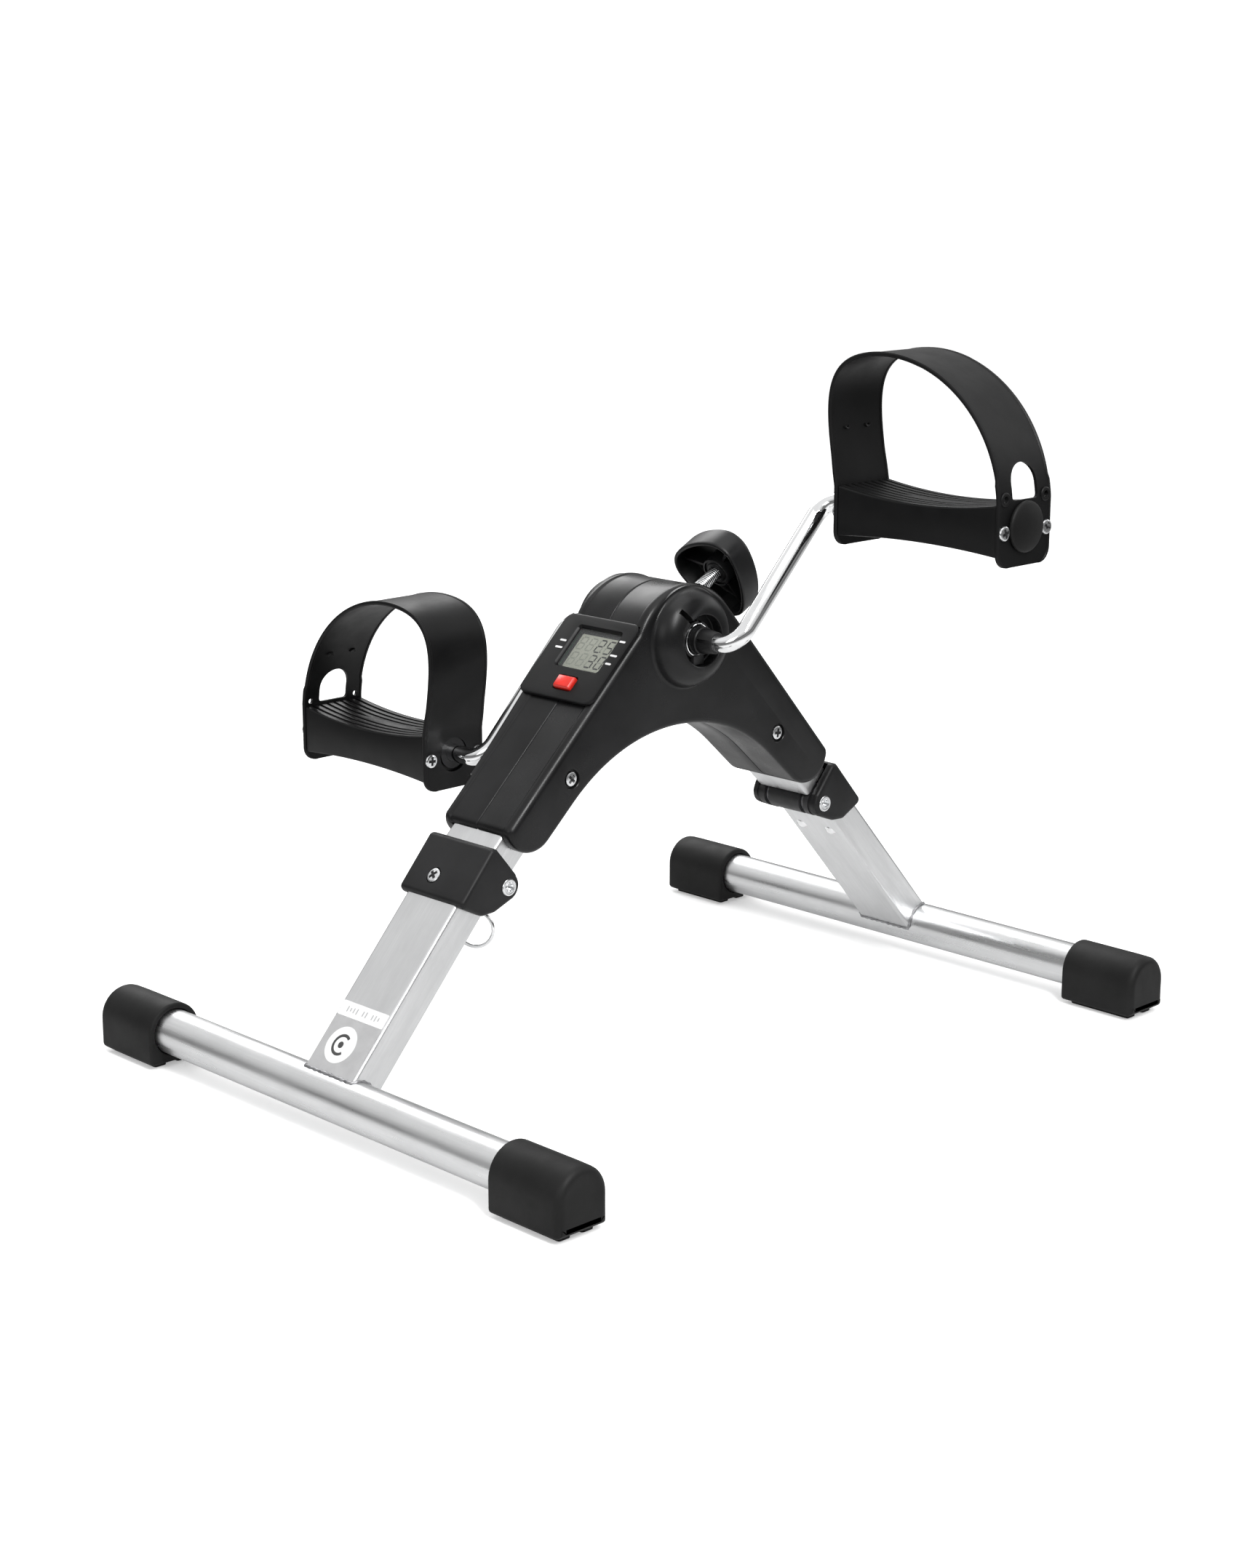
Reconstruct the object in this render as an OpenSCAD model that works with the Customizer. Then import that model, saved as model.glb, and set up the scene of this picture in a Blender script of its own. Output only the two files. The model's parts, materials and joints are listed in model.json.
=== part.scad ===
// Folding pedal exerciser: two hinged legs with round foot bars, a plastic
// housing over a steel frame, a bent-rod crank with two strapped pedals, a
// friction brake with a tension knob, and a small counter console.
// X runs along the foot bars, +Y points away from the console, Z is up.
// The origin is on the floor, midway between the bars.

/* [Legs and feet] */
// Distance between the two foot bars, axis to axis
foot_span = 454; // [430:1:480]
// Length of a foot bar over its end caps
bar_length = 380; // [340:1:400]
// Outside diameter of a foot bar
bar_d = 25.4; // [22:0.1:28]
// Wall of all steel tubes
tube_wall = 1.5; // [1.2:0.1:2]
// Length of a foot bar's end cap
cap_length = 50; // [40:1:60]
// Width of the end cap
cap_width = 33; // [31:0.5:36]
// Width of the leg and arm tubes
leg_w = 40; // [38:0.5:40]
// Depth of the leg and arm tubes
leg_d = 20; // [19:0.5:20]
// Slope of the lower legs
leg_angle = 48.2; // [46:0.1:50]
// Distance from the middle to a hinge pin
pin_y = 125.5; // [124:0.5:127]
// Height of the hinge pins
pin_z = 117; // [115:0.5:119]

/* [Housing] */
// Width of the housing
housing_w = 55; // [53:0.5:57]
// Wall of the plastic shells
shell_wall = 2.2; // [2:0.1:2.4]
// Slope of the arm tubes inside the housing
arm_angle = 44.5; // [44:0.1:44.8]
// Radius of the arch under the housing
arch_r = 116.6; // [114:0.2:118]
// Radius of the rounded crown over the hub
crown_r = 42.3; // [41:0.1:43]

/* [Crank and pedals] */
// Position of the crank axis along Y
hub_y = 7; // [5:0.5:9]
// Height of the crank axis
hub_z = 233.5; // [231:0.5:235]
// Radius of the crank, axis to pedal spindle
crank_len = 102; // [95:1:105]
// Angle of the right crank above level
crank_angle = 46; // [0:1:90]
// Diameter of the bent crank rod
rod_d = 10; // [9:0.1:11]
// Distance from the middle to a crank arm
crank_x = 64; // [60:1:66]
// Distance from the middle to a pedal's inner end
pedal_x = 91.5; // [90:0.5:95]
// Length of a pedal body
pedal_len = 107.6; // [100:0.1:110]
// Width of a pedal body
pedal_w = 42; // [38:1:44]

/* [Brake and knob] */
// Slope of the tension knob's axis
knob_angle = 28; // [24:1:32]
// Distance from the crank axis to the knob's rim
knob_reach = 53; // [50:1:56]
// Radius of the brake drum
drum_r = 14; // [12:0.5:14.5]
// Gap between the drum and the loose brake pad
pad_gap = 4; // [3.8:0.1:4]

/* [Hidden] */
$fn = 64;
hull_fn = 32;
slip = 0.05;         // radial clearance of a running fit
gap = 0.3;           // clearance between moving pieces

bar_r = bar_d / 2;
pad_h = 2.5;         // ribbed pad under an end cap
cap_drop = 17;       // bar axis down to the flat underside of the cap
bar_z = pad_h + cap_drop;
bar_y = foot_span / 2;
leg_run = bar_y - pin_y;
leg_fall = pin_z - bar_z;
leg_len = leg_run * cos(leg_angle) + leg_fall * sin(leg_angle);
leg_off = leg_run * sin(leg_angle) - leg_fall * cos(leg_angle);
leg_in = leg_off - leg_d / 2;   // inner face of the leg tube, from the pin
leg_out = leg_off + leg_d / 2;  // outer face of the leg tube
arm_off = 8.3;                   // middle of the arm tube, from the pin
tube_gap = 9.5;                 // pin to the end of either tube
front_arm_len = 98;
rear_arm_len = 134;
corner_r = 2;                   // outside corner radius of the leg tubes
pin_r = 3;
rivet_r = 2;
cover_w = 25.7;                 // half the width of a hinge cover
cover_top = leg_out + 2.6;
cover_screw_x = -5;
cover_screw_u = 13;
rivet_u = 32;
rivet_x = 11.5;

half_w = housing_w / 2;
lobe_y = 109;                   // rounded lower end of each housing arm
lobe_z = 150;
lobe_r = 17.3;
crown_y = 8;
crown_z = 221;
arch_z = 184.8 - arch_r;
front_y = -123.5;               // lower end of the flat front panel
front_z = 150;
front_slope = 43.75;
side_screw = [[-80.7, 168.3], [82.1, 167.4]];
screw_r = 1.95;

rod_r = rod_d / 2;
bend_r = 12;
crank_dy = crank_len * cos(crank_angle);
crank_dz = crank_len * sin(crank_angle);
dome_r = 15;                    // middle of the rounded boss around the axle
dome_h = 12.5;
cup_r = 14.5;
cup_floor = half_w + 5.5;
bush_r = 8;
plate_x = leg_w / 2;
plate_t = 2.5;

panel_s = 80.6;                 // console panel, along the front slope
panel_len = 53.4;
panel_w = 50;
panel_t = 2.3;
lcd_s = 101;
lcd_len = 26;
lcd_w = 32.6;
button_s = 90.1;
button_w = 12.8;
button_len = 8;
button_top = 4.6;
button_travel = 1.2;

bolt_r = 4;
bridge_w = drum_r + pad_gap + 4.6;   // bridge plate, out from the crank axis
knob_h = 16;
knob_wall = 2.5;
knob_tip = 27.7;
lock_u = 19;
lock_r = 2.2;
collar_h = 2.4;
ring_r = 10;
ring_wire = 1;
ring_spin = -45;               // how far the plunger has turned in its collar
eye_v = -5.6;

pedal_end = pedal_x + pedal_len;
tread_z = 12.5;
strap_t = 2.5;
strap_w = 44;
plate_bottom = -20.5;

// ---- frames -------------------------------------------------------------

// side is 1 for the rear and -1 for the front
module at_side(side) mirror([0, side < 0 ? 1 : 0, 0]) children();

// Lower leg: origin on the hinge pin, Y down the leg, Z out of its outer face
module leg_frame(side)
  at_side(side) translate([0, pin_y, pin_z]) rotate([-leg_angle, 0, 0]) children();

// Arm tube: the same, for the tube inside the housing, which runs towards -Y
module arm_frame(side)
  at_side(side) translate([0, pin_y, pin_z]) rotate([-arm_angle, 0, 0]) children();

// Front panel: Y up the slope, Z out of the panel
module panel_frame()
  translate([0, front_y, front_z]) rotate([front_slope, 0, 0]) children();

// Tension bolt: origin on the crank axis, Z out along the bolt
module knob_frame()
  translate([0, hub_y, hub_z]) rotate([knob_angle - 90, 0, 0]) children();

// Pedal: X as on the right side, origin on the spindle axis
module pedal_frame(side)
  translate([0, hub_y + side * crank_dy, hub_z + side * crank_dz])
    mirror([side < 0 ? 1 : 0, 0, 0]) children();

// Extrudes a (Y, Z) outline along X
module along_x(x0, x1)
  translate([x0, 0, 0]) rotate([90, 0, 90]) linear_extrude(x1 - x0) children();

// Cylinder along X
module x_rod(r, x0, x1, y = 0, z = 0)
  translate([x0, y, z]) rotate([0, 90, 0]) cylinder(r = r, h = x1 - x0);

module rounded_rect(w, h, r) {
  square([w - 2 * r, h], center = true);
  square([w, h - 2 * r], center = true);
  for (sx = [-1, 1], sy = [-1, 1])
    translate([sx * (w / 2 - r), sy * (h / 2 - r)]) circle(r);
}

// ---- housing ------------------------------------------------------------

// Side outline of the housing, drawn smaller by t all round
module housing_outline(t = 0) {
  slope_in = [t * sin(front_slope), -t * cos(front_slope)];
  rear_slope = 48.6;
  rear_in = [-t * sin(rear_slope), -t * cos(rear_slope)];
  tangent = [crown_y + crown_r * sin(rear_slope), crown_z + crown_r * cos(rear_slope)];
  // straight run between a lobe and the arch, touching both
  run = atan2(lobe_z - arch_z, lobe_y)
    + acos((arch_r + lobe_r) / norm([lobe_y, lobe_z - arch_z]));
  foot = [lobe_y - (lobe_r - t) * cos(run), lobe_z - (lobe_r - t) * sin(run)];
  head = [(arch_r + t) * cos(run), arch_z + (arch_r + t) * sin(run)];
  difference() {
    union() {
      polygon([
        [-127.5 + t, 147.5],
        [front_y, front_z] + slope_in,
        [-30, 239.5] + slope_in,
        [crown_y, crown_z],
        tangent + rear_in,
        [127.6, 149.4] + rear_in,
        [127.5 - t, 146.5],
        [lobe_y, lobe_z - 3],
        foot,
        head,
        [0, crown_z - 60],
        [-head[0], head[1]],
        [-foot[0], foot[1]],
        [-lobe_y, lobe_z - 3]
      ]);
      for (s = [-1, 1]) translate([s * lobe_y, lobe_z]) circle(lobe_r - t);
      translate([crown_y, crown_z]) circle(crown_r - t, $fn = 96);
    }
    translate([0, arch_z]) circle(arch_r + t, $fn = 128);
  }
}

// Rounded boss around the axle, with its sunken cup
module dome_boss()
  translate([half_w, hub_y, hub_z]) rotate([0, 90, 0])
    rotate_extrude($fn = 96) intersection() {
      translate([dome_r, 0]) circle(dome_h);
      square([60, dome_h + 1]);
    }

// One half of the housing; side is 1 for the right
module shell(side) {
  mirror([side < 0 ? 1 : 0, 0, 0]) difference() {
    union() {
      difference() {
        union() {
          along_x(0, half_w) housing_outline();
          dome_boss();
        }
        // hollow inside
        along_x(-1, half_w - shell_wall) housing_outline(shell_wall);
      }
      // boss around each side screw
      for (p = side_screw) x_rod(4.5, plate_x + plate_t + 0.3, half_w - 1, p[0], p[1]);
      // wall of the sunken cup
      x_rod(cup_r + 2, plate_x + plate_t + 0.3, half_w, hub_y, hub_z);
    }
    // open where the arm tubes come out
    for (s = [-1, 1]) arm_frame(s)
      translate([0, -30, arm_off])
        cube([leg_w + 0.6, 60, leg_d + 0.6], center = true);
    // cup and bush seat
    x_rod(cup_r, cup_floor, 60, hub_y, hub_z);
    x_rod(bush_r, plate_x, 60, hub_y, hub_z);
    // assembly notch beside the cup
    translate([0, hub_y, hub_z]) rotate([130, 0, 0])
      translate([cup_floor + 1, cup_r - 2, -1.5]) cube([20, 11, 3]);
    // side screws: counterbored on the right, blind seats on the left
    for (p = side_screw) {
      if (side > 0) x_rod(2.2, plate_x, half_w + 1, p[0], p[1]);
      if (side > 0) x_rod(4.8, half_w - 1.6, half_w + 1, p[0], p[1]);
      if (side < 0) x_rod(screw_r, plate_x, half_w - 1.5, p[0], p[1]);
    }
    // bed of the console panel, and the well under its screen
    panel_frame() {
      translate([-panel_w / 2, panel_s - 2.6, -0.4]) cube([panel_w, panel_len + 2.6, 30]);
      translate([-21, panel_s + 3, -12]) cube([42, panel_len - 8, 20]);
    }
    // hole of the tension bolt
    knob_frame() cylinder(r = bolt_r + 0.8, h = 70);
  }
}

module left_shell() color([0.08, 0.08, 0.085]) shell(-1);
module right_shell() color([0.1, 0.1, 0.105]) shell(1);

// Cross-headed screws that go in from the right and hold both shells and tubes
module shell_screws()
  color([0.8, 0.8, 0.82]) for (p = side_screw) {
    x_rod(screw_r, -half_w + 1.5, half_w - 1.6, p[0], p[1]);
    difference() {
      translate([half_w - 1.6, p[0], p[1]]) rotate([0, 90, 0])
        cylinder(r1 = 4.2, r2 = 3.4, h = 1.9);
      cross_recess(half_w + 0.3, p[0], p[1]);
    }
  }

// Cross recess cut into a screw head whose top is at x
module cross_recess(x, y, z)
  translate([x, y, z]) rotate([45, 0, 0])
    for (a = [0, 90]) rotate([a, 0, 0]) cube([2.4, 3.8, 0.9], center = true);

// ---- steel frame --------------------------------------------------------

module rect_tube(y0, y1)
  translate([0, y1, 0]) rotate([90, 0, 0]) linear_extrude(y1 - y0) difference() {
    rounded_rect(leg_w, leg_d, corner_r);
    square([leg_w - 2 * tube_wall, leg_d - 2 * tube_wall], center = true);
  }

module arm_tube(side, len)
  difference() {
    arm_frame(side) translate([0, 0, arm_off]) rect_tube(-len, -tube_gap);
    for (p = side_screw) x_rod(2.1, -30, 30, p[0], p[1]);
  }

module front_arm_tube() color([0.72, 0.72, 0.73]) arm_tube(-1, front_arm_len);
module rear_arm_tube() color([0.72, 0.72, 0.73]) arm_tube(1, rear_arm_len);

// Cast knuckle pushed into the mouth of an arm tube, with three barrels on
// the hinge pin and slots between them for the lugs of the leg bracket
module arm_knuckle(side) arm_frame(side) difference() {
  union() {
    translate([-18.4, -36, arm_off - 8.4]) cube([36.8, 26.4, 16.8]);
    for (x = [[-19.3, -15.4], [-12.3, 12.3], [15.4, 19.3]]) {
      x_rod(8.2, x[0], x[1]);
      translate([max(x[0], -18.4), -10, arm_off - 8.4])
        cube([min(x[1], 18.4) - max(x[0], -18.4), 10, 8.2 + 8.4 - arm_off]);
    }
  }
  x_rod(pin_r + slip, -20, 20);
}

// The front knuckle also carries the tongue of the leg lock
module front_arm_knuckle() color([0.1, 0.1, 0.1]) union() {
  arm_knuckle(-1);
  leg_frame(-1) difference() {
    translate([-7, 4.5, 4.9]) cube([14, 14.5, 2]);
    translate([0, lock_u, 0]) cylinder(r = lock_r + gap, h = 30, center = true);
  }
}
module rear_arm_knuckle() color([0.1, 0.1, 0.1]) arm_knuckle(1);

// Two side plates that join the arm tubes and carry the axle bushes, and the
// bridge between them that holds the tension nut
module hub_bracket() color([0.55, 0.55, 0.57]) difference() {
  union() {
    for (s = [-1, 1]) mirror([s < 0 ? 1 : 0, 0, 0]) along_x(plate_x, plate_x + plate_t) {
      translate([hub_y, hub_z]) circle(26);
      polygon([
        [-88, 163], [-72, 163], [-6, 222], [14, 222], [66, 176], [80, 180],
        [22, 246], [-6, 246]
      ]);
    }
    knob_frame() translate([-plate_x, -9, bridge_w])
      cube([2 * plate_x, 18, 2]);
  }
  for (s = [-1, 1]) mirror([s < 0 ? 1 : 0, 0, 0]) x_rod(bush_r, 10, 40, hub_y, hub_z);
  for (p = side_screw) x_rod(2.2, -40, 40, p[0], p[1]);
  knob_frame() cylinder(r = bolt_r + 0.4, h = 70);
}

// Flanged nylon bush in the cup; side is 1 for the right
module bush(side) mirror([side < 0 ? 1 : 0, 0, 0]) difference() {
  union() {
    x_rod(bush_r, plate_x - 0.5, cup_floor, hub_y, hub_z);
    x_rod(10.5, cup_floor, cup_floor + 1.8, hub_y, hub_z);
    translate([cup_floor, hub_y - 4, hub_z - 14]) cube([3.2, 8, 5.5]);
  }
  x_rod(rod_r + slip, 0, 60, hub_y, hub_z);
  x_rod(1.5, cup_floor - 1, cup_floor + 3, hub_y + 2, hub_z + 8);
}
module left_bush() color([0.14, 0.14, 0.15]) bush(-1);
module right_bush() color([0.14, 0.14, 0.15]) bush(1);

// Hexagon nut that the tension bolt screws through
module tension_nut() color([0.7, 0.7, 0.72]) knob_frame() difference() {
  translate([0, 0, bridge_w + 2]) cylinder(r = 7, h = 4.6, $fn = 6);
  cylinder(r = bolt_r + slip, h = 60);
}

// ---- console ------------------------------------------------------------

module console_panel() color([0.09, 0.09, 0.1]) panel_frame() difference() {
  translate([0, panel_s + panel_len / 2, -0.4])
    linear_extrude(panel_t + 0.4) rounded_rect(panel_w, panel_len, 4);
  translate([0, lcd_s + lcd_len / 2, 0])
    linear_extrude(30, center = true) rounded_rect(lcd_w, lcd_len, 1.5);
  translate([0, button_s, 0])
    linear_extrude(30, center = true)
      rounded_rect(button_w + 2 * gap, button_len + 2 * gap, 1);
}

module lcd_screen() color([0.55, 0.57, 0.5]) panel_frame()
  translate([-14.5, lcd_s + 2, -2.4]) cube([29, 22, 2]);

module lcd_lens() color([0.8, 0.85, 0.85, 0.4]) panel_frame()
  translate([0, lcd_s + lcd_len / 2, -0.4])
    linear_extrude(1) rounded_rect(lcd_w - 0.2, lcd_len - 0.2, 1.4);

module circuit_board() color([0.1, 0.35, 0.15]) panel_frame() {
  translate([-20, panel_s + 4, -4]) cube([40, 44, 1.6]);
  // dome switch under the button
  translate([-3, button_s - 3, -2.4]) cube([6, 6, 0.7]);
}

// Button cell on the back of the board
module battery() color([0.75, 0.75, 0.78]) panel_frame()
  translate([-9, lcd_s + 13, -7.2]) cylinder(r = 8, h = 3.2);

// Magnetic pickup on the inside of the right bracket plate
module reed_sensor() color([0.12, 0.12, 0.13])
  translate([13.5, hub_y - 6, hub_z - 14.2]) cube([plate_x - 13.5, 12, 6]);

// Lead from the pickup to the board, inside the housing
module sensor_lead() color([0.2, 0.2, 0.2])
  translate([16, hub_y - 6, hub_z - 11.2]) rotate([90, 0, 0])
    cylinder(r = 0.9, h = 42.6, $fn = 24);

module reset_button() color([0.85, 0.1, 0.08]) panel_frame()
  translate([0, button_s, 0]) {
    translate([0, 0, -0.6]) linear_extrude(panel_t + 1.6)
      rounded_rect(button_w, button_len, 0.8);
    hull() {
      translate([0, 0, panel_t + 1]) linear_extrude(0.1)
        rounded_rect(button_w, button_len, 0.8, $fn = hull_fn);
      translate([0, 0, button_top - 0.1]) linear_extrude(0.1)
        rounded_rect(button_w - 2, button_len - 2, 0.8, $fn = hull_fn);
    }
  }

// ---- crank --------------------------------------------------------------

// Quarter bend in the plane of X and the crank arm; Y of the frame is along
// the arm. It joins (x - bend_r, 0) to (x, bend_r).
module rod_bend(x)
  translate([x - bend_r, bend_r, 0]) rotate([0, 0, -90])
    rotate_extrude(angle = 90) translate([bend_r, 0]) circle(rod_r);

module crank_half(side) mirror([side < 0 ? 1 : 0, 0, 0]) {
  // the plane of the bends, turned to the crank's angle
  turn = side > 0 ? crank_angle : crank_angle + 180;
  translate([0, hub_y, hub_z]) rotate([turn, 0, 0]) {
    x_rod(rod_r, 0, crank_x - bend_r);
    rod_bend(crank_x);
    translate([crank_x, bend_r, 0]) rotate([-90, 0, 0])
      cylinder(r = rod_r, h = crank_len - 2 * bend_r);
    translate([2 * crank_x, crank_len, 0]) mirror([1, 0, 0]) mirror([0, 1, 0]) rod_bend(crank_x);
    x_rod(rod_r, crank_x + bend_r, pedal_end - 0.5, crank_len);
  }
}

module crank_rod() color([0.85, 0.85, 0.87]) union() {
  crank_half(1);
  crank_half(-1);
}

// Plastic sleeve that keeps the crank centred in its bush
module collar(side) mirror([side < 0 ? 1 : 0, 0, 0]) difference() {
  translate([cup_floor + 1.8 + gap, hub_y, hub_z]) rotate([0, 90, 0]) union() {
    cylinder(r = 7.8, h = 5);
    translate([0, 0, 5]) cylinder(r1 = 7.2, r2 = 6, h = 10);
  }
  x_rod(rod_r, 0, 80, hub_y, hub_z);
}
module left_collar() color([0.07, 0.07, 0.07]) collar(-1);
module right_collar() color([0.07, 0.07, 0.07]) collar(1);

module brake_drum() color([0.62, 0.62, 0.64]) difference() {
  union() {
    x_rod(drum_r, -8, 8, hub_y, hub_z);
    x_rod(9, -12, 12, hub_y, hub_z);
  }
  x_rod(rod_r, -20, 20, hub_y, hub_z);
  x_rod(2, 6, 20, hub_y, hub_z - 11.5);
}

module drum_magnet() color([0.3, 0.3, 0.32]) x_rod(2, 6, 11, hub_y, hub_z - 11.5);

// Push-on washers that keep the pedals on their spindles
module spindle_clips() color([0.7, 0.7, 0.72]) for (s = [-1, 1]) pedal_frame(s)
  difference() {
    x_rod(8.5, pedal_end - 4.2, pedal_end - 2.7);
    x_rod(rod_r, 0, 300);
  }

// ---- pedals -------------------------------------------------------------

module pedal_body() difference() {
  union() {
    translate([pedal_x, -pedal_w / 2, -15]) cube([pedal_len, pedal_w, tread_z + 15]);
  }
  // dished tread and waisted underside
  translate([pedal_x + pedal_len / 2, 0, tread_z - 4.6 + 313]) rotate([90, 0, 0])
    cylinder(r = 313, h = 80, center = true, $fn = 360);
  translate([pedal_x + pedal_len / 2, 0, -12.4 - 560]) rotate([90, 0, 0])
    cylinder(r = 560, h = 80, center = true, $fn = 360);
  // grooves between the tread ribs
  for (i = [0:6]) translate([pedal_x + pedal_len / 2, -15.75 + i * 5.25, tread_z - 5.9 + 313])
    rotate([90, 0, 0]) cylinder(r = 313, h = 2, center = true, $fn = 360);
  // hollow underside around the spindle tube
  difference() {
    translate([pedal_x + 3, -pedal_w / 2 + 2.5, -20]) cube([pedal_len - 6, pedal_w - 5, 24.5]);
    x_rod(8.5, pedal_x, pedal_end);
    translate([pedal_x, -1.2, -11]) cube([pedal_len, 2.4, 20]);
  }
  // seats of the two bushes, and the wider mouth for the clip
  x_rod(7, pedal_x - 1, pedal_x + 14);
  x_rod(7, pedal_end - 20, pedal_end + 1);
  x_rod(rod_r + 0.6, pedal_x, pedal_end);
  x_rod(9.5, pedal_end - 5, pedal_end + 1);
  // screw seats
  for (y = [-17.5, 17.5]) {
    x_rod(1.2, pedal_x - 1, pedal_x + 2.9, y, -2);
    x_rod(1.2, pedal_end - 2.9, pedal_end + 1, y, -2);
  }
}

// Cubic curve from a to d with handles b and c
function curve_point(a, b, c, d, t) =
  a * pow(1 - t, 3) + b * 3 * t * pow(1 - t, 2) + c * 3 * t * t * (1 - t) + d * pow(t, 3);

// Middle line of the strap in X and Z: up the inner end, over the instep,
// and down to the outer end
strap_steps = 14;
strap_in = pedal_x - strap_t / 2;
strap_out = pedal_end + strap_t / 2;
strap_top = [121, 84.5];
strap_line = concat(
  [[strap_in, plate_bottom], [strap_in, 12]],
  [for (i = [1:strap_steps])
    curve_point([strap_in, 12], [83, 52], [74, 84], strap_top, i / strap_steps)],
  [for (i = [1:strap_steps])
    curve_point(strap_top, [160, 84.5], [strap_out - 4, 56], [strap_out, 14], i / strap_steps)],
  [[strap_out, plate_bottom]]
);

function unit(v) = v / norm(v);
function side_of(path, i) =
  let (a = path[max(i - 1, 0)], b = path[min(i + 1, len(path) - 1)], d = unit(b - a))
  [-d[1], d[0]];

module strap_outline() polygon(concat(
  [for (i = [0:len(strap_line) - 1]) strap_line[i] + side_of(strap_line, i) * strap_t / 2],
  [for (i = [len(strap_line) - 1:-1:0]) strap_line[i] - side_of(strap_line, i) * strap_t / 2]
));

module pedal_strap() difference() {
  translate([0, strap_w / 2, 0]) rotate([90, 0, 0]) linear_extrude(strap_w) strap_outline();
  // rounded lower corners of both end plates
  for (x = [pedal_x - 5, pedal_end - 1], s = [-1, 1]) difference() {
    translate([x, s * (strap_w / 2 - 4) - 4.1, plate_bottom - 0.1]) cube([6, 8.2, 8.1]);
    x_rod(8, x - 1, x + 8, s * (strap_w / 2 - 8), plate_bottom + 8);
  }
  // opening for the spindle on the inner end, and for the cap on the outer end
  x_rod(10, pedal_x - 5, pedal_x + 5, 0, -1);
  x_rod(10.5, pedal_end - 5, pedal_end + 5);
  // arched slot and adjusting holes in the outer end
  translate([pedal_end - 9, -10.5, 14]) cube([16, 21, 8.5]);
  x_rod(10.5, pedal_end - 12, pedal_end + 8, 0, 22.5);
  for (y = [-16.7, 16.7]) {
    x_rod(1.6, pedal_end - 12, pedal_end + 5, y, 15.3);
  }
  for (y = [-17.5, 17.5]) {
    x_rod(1.6, pedal_x - 5, pedal_x + 5, y, -2);
    x_rod(1.6, pedal_end - 5, pedal_end + 5, y, -2);
  }
}

// Domed cap that hides the end of the spindle
module pedal_cap() translate([pedal_end, 0, 0]) rotate([0, 90, 0]) difference() {
  union() {
    translate([0, 0, strap_t]) intersection() {
      translate([0, 0, 4.2 - 24]) sphere(24, $fn = 96);
      cylinder(r = 13.5, h = 10);
    }
    cylinder(r = 9.2, h = strap_t + 0.4);
  }
  translate([0, 0, -1]) cylinder(r = 7.6, h = 3);
}

module pedal_screws() {
  for (y = [-17.5, 17.5]) {
    difference() {
      union() {
        x_rod(1.2, pedal_end - 2.8, pedal_end + strap_t, y, -2);
        translate([pedal_end + strap_t, y, -2]) rotate([0, 90, 0])
          cylinder(r1 = 4, r2 = 3, h = 1.5);
      }
      cross_recess(pedal_end + strap_t + 1.6, y, -2);
    }
    x_rod(1.2, pedal_x - strap_t, pedal_x + 2.8, y, -2);
    translate([pedal_x - strap_t - 1.5, y, -2]) rotate([0, 90, 0])
      cylinder(r1 = 3, r2 = 4, h = 1.5);
  }
}

module pedal_bushes() difference() {
  union() {
    x_rod(7, pedal_x, pedal_x + 14);
    x_rod(9, pedal_x - 1.6, pedal_x);
    x_rod(7, pedal_end - 20, pedal_end - 5);
  }
  x_rod(rod_r + slip, 0, 300);
}

module left_pedal_body() color([0.06, 0.06, 0.065]) pedal_frame(-1) pedal_body();
module left_pedal_strap() color([0.08, 0.08, 0.08]) pedal_frame(-1) pedal_strap();
module left_pedal_cap() color([0.05, 0.05, 0.05]) pedal_frame(-1) pedal_cap();
module left_pedal_screws() color([0.8, 0.8, 0.82]) pedal_frame(-1) pedal_screws();
module left_pedal_bushes() color([0.85, 0.84, 0.8]) pedal_frame(-1) pedal_bushes();
module right_pedal_body() color([0.06, 0.06, 0.065]) pedal_frame(1) pedal_body();
module right_pedal_strap() color([0.08, 0.08, 0.08]) pedal_frame(1) pedal_strap();
module right_pedal_cap() color([0.05, 0.05, 0.05]) pedal_frame(1) pedal_cap();
module right_pedal_screws() color([0.8, 0.8, 0.82]) pedal_frame(1) pedal_screws();
module right_pedal_bushes() color([0.85, 0.84, 0.8]) pedal_frame(1) pedal_bushes();

// ---- brake and tension knob ---------------------------------------------

// Three-lobed outline: three wide arcs, with the tips cut round
module knob_outline(t = 0) {
  lobe_w = 54;
  rotate(11) intersection() {
    for (a = [0, 120, 240]) rotate(a) translate([-lobe_w / sqrt(3), 0]) circle(lobe_w - t, $fn = 96);
    circle(knob_tip - t);
  }
}
module knob_solid(t, h) intersection_for(a = [0, 120, 240]) linear_extrude(h)
  rotate(11 + a) translate([-54 / sqrt(3), 0]) circle(54 - t, $fn = 96);

module tension_knob() color([0.07, 0.07, 0.075]) knob_frame() translate([0, 0, knob_reach])
  difference() {
    union() {
      difference() {
        intersection() {
          knob_solid(0, knob_h);
          cylinder(r = knob_tip, h = knob_h);
        }
        translate([0, 0, -1]) intersection() {
          knob_solid(knob_wall, knob_h - 1.5);
          cylinder(r = knob_tip - knob_wall, h = knob_h - 1.5);
        }
      }
      translate([0, 0, 4]) cylinder(r = 9, h = knob_h - 6);
    }
    translate([0, 0, -1]) cylinder(r = bolt_r, h = knob_h - 3);
  }

module tension_bolt() color([0.8, 0.8, 0.82]) knob_frame()
  translate([0, 0, drum_r + pad_gap + 4])
    cylinder(r = bolt_r, h = knob_reach + knob_h - 8 - drum_r - pad_gap);

// Steel backing plate on the end of the bolt
module brake_shoe() color([0.5, 0.5, 0.52]) knob_frame() difference() {
  translate([-6, -9, drum_r]) cube([12, 18, pad_gap + 4]);
  rotate([0, 90, 0]) cylinder(r = drum_r + pad_gap + 2, h = 30, center = true, $fn = 96);
}

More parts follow.
